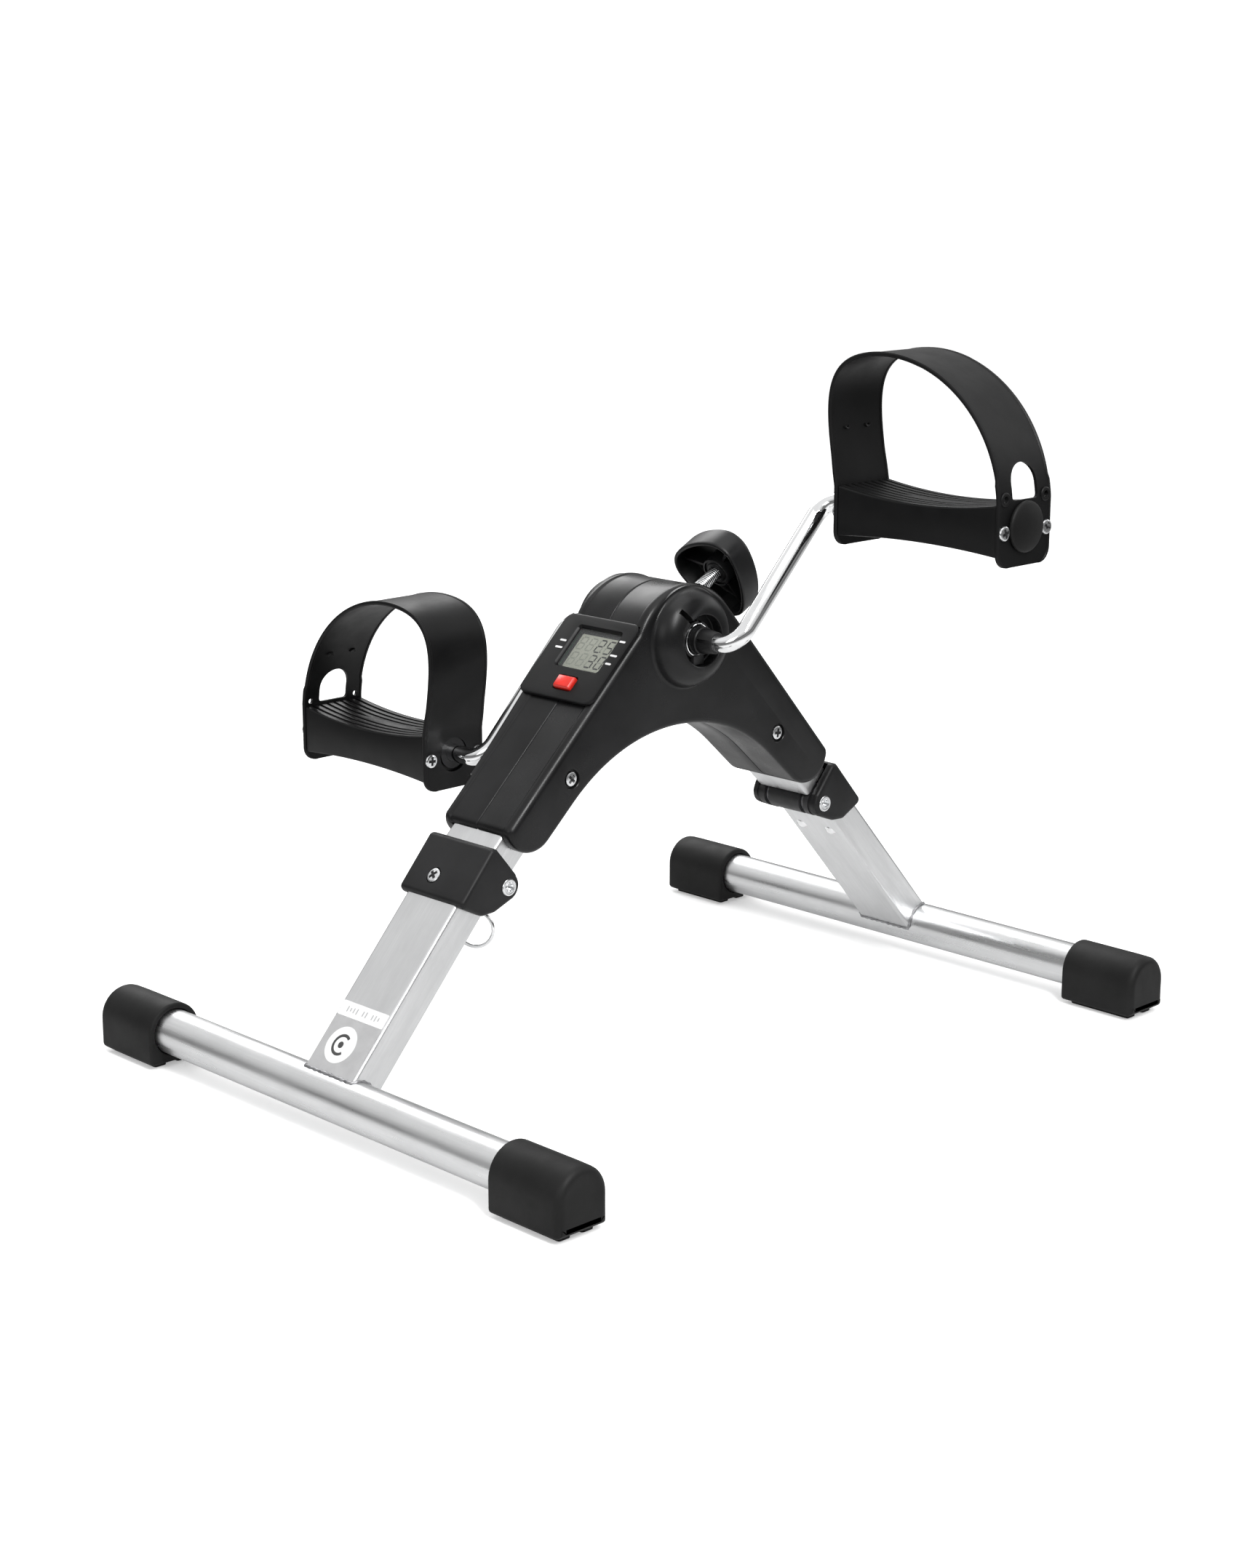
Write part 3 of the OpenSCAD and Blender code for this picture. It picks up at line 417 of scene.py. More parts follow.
LEG_DIR = {s: (0, s * math.cos(math.radians(LEG_ANGLE)), -math.sin(math.radians(LEG_ANGLE)))
           for s in (1, -1)}
ZINC = (0.74, 0.745, 0.75)
M = {
    "housing": plastic("abs_satin", (0.0075, 0.0075, 0.0079), 0.3, 0.27, depth=0.000005),
    "console": plastic("abs_console", (0.0045, 0.0045, 0.0048), 0.38, 0.2, depth=0.000005,
                       edge=0.15),
    "cover": plastic("hinge_abs", (0.0085, 0.0085, 0.009), 0.44, 0.28, depth=0.00004),
    "pedal": plastic("pedal_pp", (0.004, 0.004, 0.0042), 0.4, 0.2, depth=0.000012,
                     vary=0.3, scuff=0.04),
    "strap": plastic("strap_pvc", (0.0048, 0.0048, 0.005), 0.42, 0.2, grain=1500,
                     depth=0.000012, cloud=18),
    "cap": plastic("foot_rubber", (0.0065, 0.0065, 0.0065), 0.55, 0.24, grain=1700,
                   depth=0.00004, scuff=0.08),
    "knob": plastic("knob_abs", (0.0065, 0.0065, 0.007), 0.4, 0.3),
    "dark": plastic("inner_black", (0.006, 0.006, 0.0065), 0.42, 0.3),
    "leg_front": steel("zinc_front_leg", ZINC, 0.34, LEG_DIR[-1]),
    "leg_rear": steel("zinc_rear_leg", ZINC, 0.34, LEG_DIR[1]),
    "bar": steel("zinc_bar", (0.76, 0.765, 0.77), 0.3, (1, 0, 0)),
    "arm_front": steel("zinc_front_arm", ZINC, 0.32, LEG_DIR[-1]),
    "arm_rear": steel("zinc_rear_arm", ZINC, 0.32, LEG_DIR[1]),
    "chrome": steel("chrome", (0.93, 0.935, 0.94), 0.07, (0, 0.69, 0.72), streak=500,
                    ratio=0.2, vary=0.03, depth=0.000003),
    "bolt": plain("bolt_zinc", (0.78, 0.79, 0.8), 0.22, 1.0, 260, 0.08),
    "bracket": plain("bracket_steel", (0.52, 0.53, 0.55), 0.35, 1.0, 120, 0.12),
    "weld": plain("weld_steel", (0.34, 0.34, 0.35), 0.42, 1.0, 300, 0.35, 700, 0.0001),
    "cast": plain("cast_black", (0.02, 0.02, 0.021), 0.42, 0.0, 90, 0.3, 1300, 0.00005, 0.4),
    "lcd": plain("lcd_grey", (0.25, 0.26, 0.215), 0.4, 0.0, 30, 0.05, 600, 0.000005, 0.25),
    "segment": plain("lcd_segment", (0.008, 0.009, 0.008), 0.5, 0.0, 200, 0.2, specular=0.2),
    "ghost": plain("lcd_ghost", (0.17, 0.18, 0.15), 0.5, 0.0, 200, 0.1, specular=0.2),
    "lens": plain("lens_clear", (0.7, 0.72, 0.72), 0.05, 0.0, 40, 0.02, 300, 0.000002,
                  0.5, 0.04),
    "button": plain("button_red", (0.72, 0.028, 0.018), 0.33, 0.0, 150, 0.12, 1500, 0.00002),
    "print": plain("print_white", (0.72, 0.72, 0.72), 0.5, 0.0, 300, 0.06),
    "label": plain("label_white", (0.84, 0.84, 0.84), 0.45, 0.0, 100, 0.04, 700, 0.00001),
    "foil": plain("label_grey", (0.50, 0.50, 0.505), 0.42, 0.35, 120, 0.06, 600, 0.00001),
    "label_mark": plain("label_mark", (0.05, 0.05, 0.05), 0.5, 0.0, 200, 0.15),
    "board": plain("board_green", (0.02, 0.12, 0.045), 0.4, 0.0, 200, 0.25),
    "cell": plain("battery_steel", (0.6, 0.6, 0.62), 0.25, 1.0, 200, 0.08),
    "magnet": plain("magnet_grey", (0.12, 0.12, 0.125), 0.4, 0.6, 200, 0.15),
    "nylon": plain("bush_nylon", (0.022, 0.022, 0.023), 0.36, 0.0, 120, 0.2),
    "felt": plain("felt_brown", (0.16, 0.12, 0.08), 0.9, 0.0, 400, 0.35, 2500, 0.0002, 0.1),
}

# ---- housing ------------------------------------------------------------

HALF = 27.5
LOBE_Y, LOBE_Z, LOBE_R = 109, 150, 17.3
ARCH_Z, ARCH_R = 68.2, 116.6
CROWN = (8, 221, 42.3)
RUN = 47.6  # slope of the straight between a lobe and the arch


def tangent_at(centre, r, point, sign):
    """Angle on a circle where a line from point touches it."""
    dy, dz = point[0] - centre[0], point[1] - centre[1]
    return math.degrees(math.atan2(dz, dy) + sign * math.acos(r / math.hypot(dy, dz)))


def cut_corner(a, b, c, r, n=6):
    """Points of a round corner at b between a and c."""
    return rounded([(*a, 0), (*b, r), (*c, 0)], n)[1:-1]


def housing_outline():
    """(y, z) points, and each one's share of the top's edge shape."""
    rear, front = (127.6, 149.4), (-126.6, 147.03)
    tr = tangent_at((LOBE_Y, LOBE_Z), LOBE_R, rear, -1)
    tf = tangent_at((-LOBE_Y, LOBE_Z), LOBE_R, front, 1) % 360
    lobe_rear = arc(LOBE_Y, LOBE_Z, LOBE_R, tr, RUN - 180, 22)
    lobe_front = arc(-LOBE_Y, LOBE_Z, LOBE_R, -RUN, tf - 360, 22)
    crown = arc(*CROWN, 154, 41.4, 40)
    out = []
    out += [(p, 1) for p in cut_corner(lobe_front[-1], front, (-100, 172.5), 5)]
    out += [((PANEL_Y + t * math.cos(math.radians(PANEL_ANGLE)),
              PANEL_Z + t * math.sin(math.radians(PANEL_ANGLE))), 1)
            for t in np.linspace(8, 124, 12)]
    out += [(p, 1) for p in crown]
    end = crown[-1]
    out += [((end[0] + (rear[0] - end[0]) * t, end[1] + (rear[1] - end[1]) * t), 1)
            for t in np.linspace(0.1, 0.93, 8)]
    out += [(p, 1) for p in cut_corner(end, rear, lobe_rear[0], 5)]
    out += [(p, 0) for p in lobe_rear]
    out += [(p, 0) for p in arc(0, ARCH_Z, ARCH_R, RUN, 180 - RUN, 48)]
    out += [(p, 0) for p in lobe_front]
    pts = [p for p, _ in out]
    w = np.array([v for _, v in out], float)
    for _ in range(3):  # let one edge shape run into the other
        w = (np.roll(w, 1) + 2 * w + np.roll(w, -1)) / 4
    return pts, w


OUTLINE, TOP = housing_outline()
TOP_EDGE = [(0, 1.35), (0.35, 1.3), (0.75, 0.9), (1.1, 0.8), (20.6, 0.8), (21.1, 0.72),
            (21.6, 0.4), (22.0, 0.1), (22.4, 0), (23.2, 0)]
LOW_EDGE = [(0, 0.5), (0.2, 0.45), (0.4, 0.12), (0.7, 0), (8, 0), (14, 0), (18, 0),
            (21, 0), (23, 0), (24.5, 0)]
for k in range(1, 8):
    a = math.pi / 2 * k / 7
    TOP_EDGE.append((HALF - 4.3 + 4.3 * math.sin(a), 4.3 * (1 - math.cos(a))))
    LOW_EDGE.append((HALF - 3 + 3 * math.sin(a), 3 * (1 - math.cos(a))))

SIDE_SCREW = [(-80.7, 168.3), (82.1, 167.4)]
CUP_R, CUP_FLOOR, BUSH_R = 14.5, 33, 8
CHEEK, CHEEK_S0, CHEEK_S1 = 4.6, 24, 132  # extra width on the left, and where it grows
WALL = 3.0


def yz_ring(outline, depth, x):
    pts = inset(outline, depth)
    x = np.broadcast_to(x, (len(pts),))
    return [(x[i], p[0], p[1]) for i, p in enumerate(pts)]


def housing_half(side, word):
    rings = []
    for (xt, it), (xl, il) in zip(TOP_EDGE, LOW_EDGE):
        rings.append(yz_ring(OUTLINE, TOP * it + (1 - TOP) * il, TOP * xt + (1 - TOP) * xl))
    m = flip(x=side)
    obj = place("housing_" + word, *loft(rings), m)
    # rounded boss around the axle with its sunken cup
    boss = [(0, 26), (29.2, 26), (29.2, 27.5), (28.6, 27.62), (28.05, 27.95), (27.6, 28.5)]
    boss += [(15 + 12.5 * math.cos(a), HALF + 12.5 * math.sin(a))
             for a in np.radians(np.linspace(9, 90, 16))]
    boss += [(CUP_R + 0.45, 39.95), (CUP_R + 0.12, 39.75), (CUP_R, 39.4),
             (CUP_R, CUP_FLOOR + 0.6), (CUP_R - 0.5, CUP_FLOOR), (0, CUP_FLOOR)]
    boolean(obj, [(lathe(boss, 96), HUB_M[side])], "UNION")
    if side < 0:  # this side grows wider beside the console
        rings = []
        for t in np.linspace(0, 1, 25):
            swell = CHEEK * t * t * (3 - 2 * t)
            edge = HALF + 0.05 + swell
            path = rounded([(-22, 0.02, 1), (-edge, 0.02, 2.2), (-edge + 0.4, -12, 5),
                            (-HALF + 0.3, -34, 1), (-22, -34, 1)], 6)
            rings.append([(x, CHEEK_S0 + (CHEEK_S1 - CHEEK_S0) * t, h) for x, h in path])
        boolean(obj, [(loft(rings), PANEL_M)], "UNION")
    hollow = [yz_ring(OUTLINE, WALL, x) for x in (-1, 25.2)]
    boolean(obj, [(loft(hollow), m)])
    sleeve = [(rod(16.5, 22.8, 27, 64), HUB_M[side])]
    sleeve += [(rod(4.6, 22.8, 26.6), m @ shift(0, y, z) @ ALONG_X) for y, z in SIDE_SCREW]
    boolean(obj, sleeve, "UNION")
    cuts = [(box(-26, 25, 80.4, 134.2, -0.4, 30), PANEL_M),
            (box(-21, 21, 83.6, 129, -12, 5), PANEL_M)]
    cuts += [(box(-20.3, 20.3, -60, 0, 8.3 - 10.3, 8.3 + 10.3), arm_m(s)) for s in (1, -1)]
    cuts.append((rod(BUSH_R, 20, 60), HUB_M[side]))
    cuts.append((box(CUP_R - 2, CUP_R + 9, -1.5, 1.5, CUP_FLOOR + 1, 60),
                 flip(x=side) @ HUB_AT @ turn("X", 130) @ UPRIGHT))
    for y, z in SIDE_SCREW if side > 0 else ():
        well = lathe([(5.3, 25.7), (5.3, 27.1), (5.55, 27.4), (6.2, 27.9)], 40)
        cuts.append((well, m @ shift(0, y, z) @ ALONG_X))
        cuts.append((rod(2.2, 20, 28), m @ shift(0, y, z) @ ALONG_X))
    cuts.append((rod(4.8, 20, 70), KNOB_M))
    boolean(obj, cuts)
    finish(obj, "frame", M["housing"], [word + "_shell"], 32)


for side, word in RIGHT_LEFT:
    housing_half(side, word)


# ---- screws and rivets --------------------------------------------------


def screw_head(r, h):
    """Domed head seated at height 0 with the start of its shank, as (verts, faces)."""
    profile = [(0, -1.2), (r * 0.45, -1.2), (r * 0.5, 0), (r - 0.05, 0), (r, 0.12),
               (r, h * 0.35), (r * 0.93, h * 0.7)]
    profile += [(r * k, h - 0.216 * h * (k / 0.93) ** 2.2)
                for k in (0.84, 0.7, 0.5, 0.3, 0.1, 0)]
    return lathe(profile, 40)


def add_screws(name, spots, body, nodes, r, h, spin, shank):
    """Cross-headed screws at matrices whose Z points out of the head, with painted shade in each
    cross recess.
    """
    made, slot_shade_pieces = [], []
    for i, m in enumerate(spots):
        obj = place(name if i == 0 else "part", *screw_head(r, h), m)
        w, arm = r * 0.2, r * 0.64
        spun = m @ turn("Z", spin + i * 37)
        boolean(obj, [(box(-arm, arm, -w, w, h - 0.95, h + 1), spun),
                      (box(-w, w, -arm, arm, h - 0.95, h + 1), spun)])
        # a thin black plate in the bottom of each cross recess: painted shade in the recess
        cross = [(arm, w), (w, w), (w, arm), (-w, arm), (-w, w), (-arm, w), (-arm, -w),
                 (-w, -w), (-w, -arm), (w, -arm), (w, -w), (arm, -w)]
        slot_shade_pieces.append(place("part", *loft([[(x * 1.02, y * 1.02, z) for x, y in cross]
                                              for z in (h - 0.99, h - 0.7)]), spun))
        made.append(join(obj, place("part", *rod(shank[0], -shank[1], -0.5, 24), m)))
    # the recess plates as one black object of painted shade
    painted_slot_shade = join(*slot_shade_pieces)
    painted_slot_shade.name = name + "_recess_shade"
    finish(painted_slot_shade, body, M["dark"])
    finish(join(*made), body, M["bolt"], nodes, 30)


add_screws("housing_screws", [shift(25.75, y, z) @ ALONG_X for y, z in SIDE_SCREW], "frame",
           ["shell_screws"], 4.1, 1.6, 45, (1.95, 51))
for side, leg in FRONT_REAR:
    top = leg_m(side) @ shift(*COVER_SCREW, COVER_TOP - 1.2)
    add_screws(leg + "_hinge_screw", [top], leg + "_leg", [leg + "_cover_screw"],
               4.3, 1.75, 40, (2.0, 4.5))

PIN_END = [(3.0, 24), (3.0, 25.5), (4.6, 25.7), (4.75, 26.0), (4.5, 26.45), (3.9, 26.62),
           (3.45, 26.5), (3.3, 26.2), (3.0, 26.2), (2.85, 26.5), (2.5, 26.66), (2.15, 26.5),
           (2.05, 26.1), (2.05, 24.6), (0, 24.4)]
for side, leg in FRONT_REAR:
    parts = [place("part", *lathe(PIN_END, 48), leg_m(side) @ flip(x=s) @ ALONG_X)
             for s in (1, -1)]
    pin = place(leg + "_pin", *rod(3.0, -24.5, 24.5), leg_m(side) @ ALONG_X)
    finish(join(pin, *parts), leg + "_leg", M["bolt"],
           [leg + "_hinge_pin"], 40)

# ---- console ------------------------------------------------------------

PANEL_S, PANEL_LEN, PANEL_W, PANEL_X = 79.6, 55.4, 57.5, -2.4
LCD_MID, BUTTON_S = 114, 90.1  # distances up the slope
plate = place("console_plate", *prism(rect(PANEL_W, PANEL_LEN, 5.5), [
    (-0.4, 0.5), (0.3, 0.3), (0.35, 0), (1.6, 0), (2.0, 0.14), (2.22, 0.5), (2.3, 1.1)]),
    PANEL_M @ shift(PANEL_X, PANEL_S + PANEL_LEN / 2, 0))
window = prism(rect(32.6, 26, 1.2), [(-4, 0), (0.5, 0), (1.2, -0.35), (2.0, -1.05),
                                     (2.5, -1.6)])
moat = prism(rect(13.4, 8.6, 1.1), [(-4, 0), (1.2, 0), (2.0, -0.5), (2.6, -1.0)])
boolean(plate, [(window, PANEL_M @ shift(0, LCD_MID, 0)),
                (moat, PANEL_M @ shift(0, BUTTON_S, 0))])
finish(plate, "frame", M["console"], ["console_panel"], 30)

key = place("reset_key", *prism(rect(12.8, 8, 1.0), [
    (-0.6, 0.1), (-0.5, 0), (3.0, 0), (3.3, 0.1), (4.2, 0.8), (4.35, 0.95)]),
    PANEL_M @ shift(0, BUTTON_S, 0))
finish(key, "button", M["button"], ["reset_button"], 50)

# the cell sits lower and to the right in the window, so the black bed below shows along its top
# and left edges as painted shadow of the window wall
glass = place("lcd_cell", *slab(rect(29.4, 23, 0.8), -2.2, -0.95, 0.2, 2),
              PANEL_M @ shift(0.6, LCD_MID - 0.9, 0))
finish(glass, "frame", M["lcd"], ["lcd_screen"])
# black bed under the cell: partly a real dark border, partly painted shadow at the top and left
bed_and_shadow = place("lcd_bed_and_shadow", *slab(rect(34, 27.4, 1), -2.7, -1.45, 0.2, 2),
              PANEL_M @ shift(0, LCD_MID, 0))
finish(bed_and_shadow, "frame", M["dark"])

SEGMENTS = {"a": (0, 1, 0), "g": (0, 0, 0), "d": (0, -1, 0), "f": (-0.5, 0.5, 1),
            "b": (0.5, 0.5, 1), "e": (-0.5, -0.5, 1), "c": (0.5, -0.5, 1)}
DIGITS = {"0": "abcdef", "2": "abged", "3": "abgcd", "5": "afgcd", " ": ""}
DIGIT_W, DIGIT_H, DIGIT_X, DIGIT_STEP = 4.3, 4.1, -10.2, 7.1
STROKE, GAP, LEAN = 0.95, 0.16, 0.12


def segment(x, y, upright):
    """One six-sided bar of a leaning seven-segment digit."""
    half, t = (DIGIT_H if upright else DIGIT_W) / 2 - GAP, STROKE
    pts = [(-half, 0), (-half + t / 2, t / 2), (half - t / 2, t / 2), (half, 0),
           (half - t / 2, -t / 2), (-half + t / 2, -t / 2)]
    if upright:
        pts = [(-b, a) for a, b in pts]
    return [(x + px + LEAN * (y + py), y + py) for px, py in pts]


lit, ghost = [], []
for text, y0 in (("  25", 4.6), ("  30", -5.9)):
    for i, ch in enumerate(text):
        x0 = DIGIT_X + i * DIGIT_STEP
        for seg, (sx, sy, upright) in SEGMENTS.items():
            outline = segment(sx * DIGIT_W, sy * DIGIT_H, upright)
            if ch == " " or seg not in DIGITS[ch]:
                target, top = ghost, -0.93
            else:
                target, top = lit, -0.91
            target.append(loft([[(x0 + x, y0 + y, z) for x, y in outline]
                                for z in (-1.0, top)]))
    dot = rect(0.9, 0.9, 0.2, 3)
    lit.append(loft([[(6.1 + x, y0 - 3.6 + y, z) for x, y in dot] for z in (-1.0, -0.91)]))
for name, shapes, mat in (("lcd_digits", lit, "segment"), ("lcd_ghosts", ghost, "ghost")):
    obj = merged(name, shapes, PANEL_M @ shift(0, LCD_MID, 0))
    finish(obj, "frame", M[mat])

marks = []
for x, s, w in ((-21.4, 116.2, 4.8), (-21.4, 111.4, 5.4), (20.9, 122.2, 4.4),
                (21.0, 112.6, 5.2), (20.9, 107.0, 4.2)):
    bar = rect(w, 1.25, 0.5, 4)
    marks.append(loft([[(x + px, s + py, z) for px, py in bar] for z in (2.2, 2.4)]))
finish(merged("console_marks", marks, PANEL_M), "frame", M["print"])

# ---- cup, crank and collars ---------------------------------------------

for side, word in RIGHT_LEFT:
    m = HUB_M[side]
    bush = place(word + "_cup_bush", *lathe([
        (5.06, 19.5), (8, 19.5), (8, 33), (10.3, 33), (10.5, 33.2), (10.5, 34.5),
        (10.2, 34.8), (7.9, 34.8), (7.7, 34.5), (7.5, 34.2), (5.06, 34.2)]), m)
    boolean(bush, [(rod(5.06, 15, 40), m)])
    flat = flip(x=side) @ HUB_AT @ UPRIGHT
    boolean(bush, [(slab(rounded([(-4, -14, 0.8), (4, -14, 0.8), (4, -8.5, 0.3),
                                  (-4, -8.5, 0.3)]), 33, 36.1, 0.4, 2), flat)], "UNION")
    boolean(bush, [(rod(1.5, 32, 37, 24), flat @ shift(2, 8.9, 0)),
                   (box(-11, -7.6, -1.1, 1.1, 33.8, 36), flat),
                   (box(8.2, 11, -2.6, -0.6, 33.8, 36), flat)])
    finish(bush, "frame", M["nylon"], [word + "_bush"])
    ring = place(word + "_cup_ring", *lathe([
        (8.15, 34.6), (8.15, 35.1), (8.35, 35.45), (8.8, 35.6), (9.2, 35.45), (9.4, 35.1),
        (9.4, 34.6), (8.15, 34.6)], 64, False), m)
    finish(ring, "frame", M["chrome"])
    sleeve = place(word + "_sleeve", *lathe([
        (5.0, 35.1), (7.5, 35.1), (7.8, 35.4), (7.8, 39.7), (7.5, 40.1), (7.2, 40.3),
        (6.05, 49.4), (5.8, 49.9), (5.3, 50.1), (5.0, 50.1), (5.0, 35.1)], 48, False), m)
    boolean(sleeve, [(box(5.9, 9, -1, 1, 41, 52), m @ turn("Z", a)) for a in (20, 140, 260)])
    finish(sleeve, "crank", M["dark"], [word + "_collar"])

P0, PLEN, PW = 91.5, 107.6, 42  # pedal body: inner end, length and width
P1, PMID = P0 + PLEN, P0 + PLEN / 2
CRANK_X, CRANK_LEN, BEND, ROD_R = 64, 102, 12, 5.0
ROD_END, TIP, TIP_R = P1 - 0.5, 0.6, 4.3  # the rod's end and its chamfer


def crank_half(side):
    """Middle line of one half of the rod, from the hub out, as (x, along the arm)."""
    pts = [(x, 0) for x in np.linspace(0, CRANK_X - BEND, 6)[:-1]]
    pts += arc(CRANK_X - BEND, BEND, BEND, -90, 0, 14)
    pts += [(CRANK_X, y) for y in np.linspace(BEND, CRANK_LEN - BEND, 8)[1:-1]]
    pts += arc(CRANK_X + BEND, CRANK_LEN - BEND, BEND, 180, 90, 14)
    pts += [(x, CRANK_LEN) for x in np.linspace(CRANK_X + BEND, ROD_END - TIP, 6)[1:]]
    return [(side * x, side * y) for x, y in pts]


line = crank_half(-1)[::-1] + crank_half(1)[1:]
arm_dir = Vector((0, SPINDLE[1][1] - HUB[1], SPINDLE[1][2] - HUB[2])).normalized()
path = [Vector((x, HUB[1], HUB[2])) + arm_dir * y for x, y in line]
radii = [TIP_R] + [ROD_R] * len(path) + [TIP_R]
path = [path[0] - Vector((TIP, 0, 0)), *path, path[-1] + Vector((TIP, 0, 0))]
normal = Vector((1, 0, 0)).cross(arm_dir)
crank = place("crank_bar", *tube(path, radii, 40, normal))
finish(crank, "crank", M["chrome"], ["crank_rod"], 50)

# ---- pedals -------------------------------------------------------------

TREAD, STRAP_T, STRAP_W, PLATE_LOW = 12.5, 2.5, 44, -20.5
GROOVES = [-15.75 + i * 5.25 for i in range(7)]


TREAD_R, BELLY_R = 313, 560  # the body's top and underside sag on wide arcs
ADJUST = [(y, 15.3) for y in (-16.7, 16.7)]  # adjusting holes of the strap
SCREW_Y = (-17.5, 17.5)
STUD_Y, STUD_Z, STUD_R = 8.35, 43.5, 2.1


def tread_z(x):
    return TREAD - 4.6 + TREAD_R - math.sqrt(TREAD_R ** 2 - (x - PMID) ** 2)


def belly_z(x):
    return -12.4 - BELLY_R + math.sqrt(BELLY_R ** 2 - (x - PMID) ** 2)


def pedal_section(x):
    """(y, z) outline of the pedal body at one station."""
    top, low, h = tread_z(x), belly_z(x), PW / 2
    pts = [(h - 1.4, low), (h - 0.5, low + 0.3), (h, low + 1.2)]
    pts += [(h, top - 1.3), (h - 0.12, top - 0.7), (h - 0.5, top - 0.22), (h - 1.1, top)]
    for g in reversed(GROOVES):
        for dy, dz in ((1.35, 0), (1.1, -0.08), (0.95, -0.35), (0.85, -1.15), (0.6, -1.35),
                       (-0.6, -1.35), (-0.85, -1.15), (-0.95, -0.35), (-1.1, -0.08), (-1.35, 0)):
            pts.append((g + dy, top + dz))
    pts += [(-h + 1.1, top), (-h + 0.5, top - 0.22), (-h + 0.12, top - 0.7), (-h, top - 1.3)]
    pts += [(-h, low + 1.2), (-h + 0.5, low + 0.3), (-h + 1.4, low)]
    return pts


def curve(a, b, c, d, t):
    """Point at t on a cubic Bezier curve."""
    a, b, c, d = map(np.array, (a, b, c, d))
    return tuple(a * (1 - t) ** 3 + 3 * b * t * (1 - t) ** 2 + 3 * c * t * t * (1 - t)
                 + d * t ** 3)


S_IN, S_OUT = P0 - STRAP_T / 2, P1 + STRAP_T / 2


def strap_line():
    """Middle line of the strap in (x, z), densest at the rounded plate ends."""
    low = PLATE_LOW + np.array([0, 0.25, 0.7, 1.4, 2.4, 3.6, 5, 6.4, 8, 11, 16, 22, 28])
    pts = [(S_IN, z) for z in low]
    pts += [curve((S_IN, 12), (83, 52), (74, 84), (121, 84.5), t) for t in np.linspace(0, 1, 36)]
    pts += [curve((121, 84.5), (160, 84.5), (S_OUT - 4, 56), (S_OUT, 14), t)
            for t in np.linspace(0, 1, 44)[1:]]
    pts += [(S_OUT, z) for z in low[::-1]]
    return pts


def strap_width(x, z):
    """Half the strap's width: rounded plate corners and a small step at the outer end."""
    half = STRAP_W / 2
    if z < PLATE_LOW + 8:
        k = 8 - (z - PLATE_LOW)
        half -= 8 - math.sqrt(max(64 - k * k, 0.3))
    if x > PMID and z > 24:
        half -= 0.8 * min(1, (z - 24) / 0.8)
    elif x < PMID and z > 20:
        half -= 0.5 * min(1, (z - 20) / 8)
    return half


def strap_shape():
    pts = [Vector(p) for p in strap_line()]
    rings, t = [], STRAP_T / 2
    for i, p in enumerate(pts):
        d = (pts[min(i + 1, len(pts) - 1)] - pts[max(i - 1, 0)]).normalized()
        n = Vector((-d.y, d.x))
        half = strap_width(p.x, p.y)
        ring = []
        for y, k in ((half - 2.3, t * 0.7), (half - 1.8, t), (half - 0.5, t * 0.94),
                     (half - 0.08, t * 0.5), (half, 0), (half - 0.08, -t * 0.5),
                     (half - 0.5, -t * 0.94), (half - 1.8, -t), (half - 2.3, -t * 0.7)):
            ring.append((p.x + n.x * k, y, p.y + n.y * k))
        ring += [(x, -y, z) for x, y, z in ring[::-1]]
        rings.append(ring)
    return loft(rings)


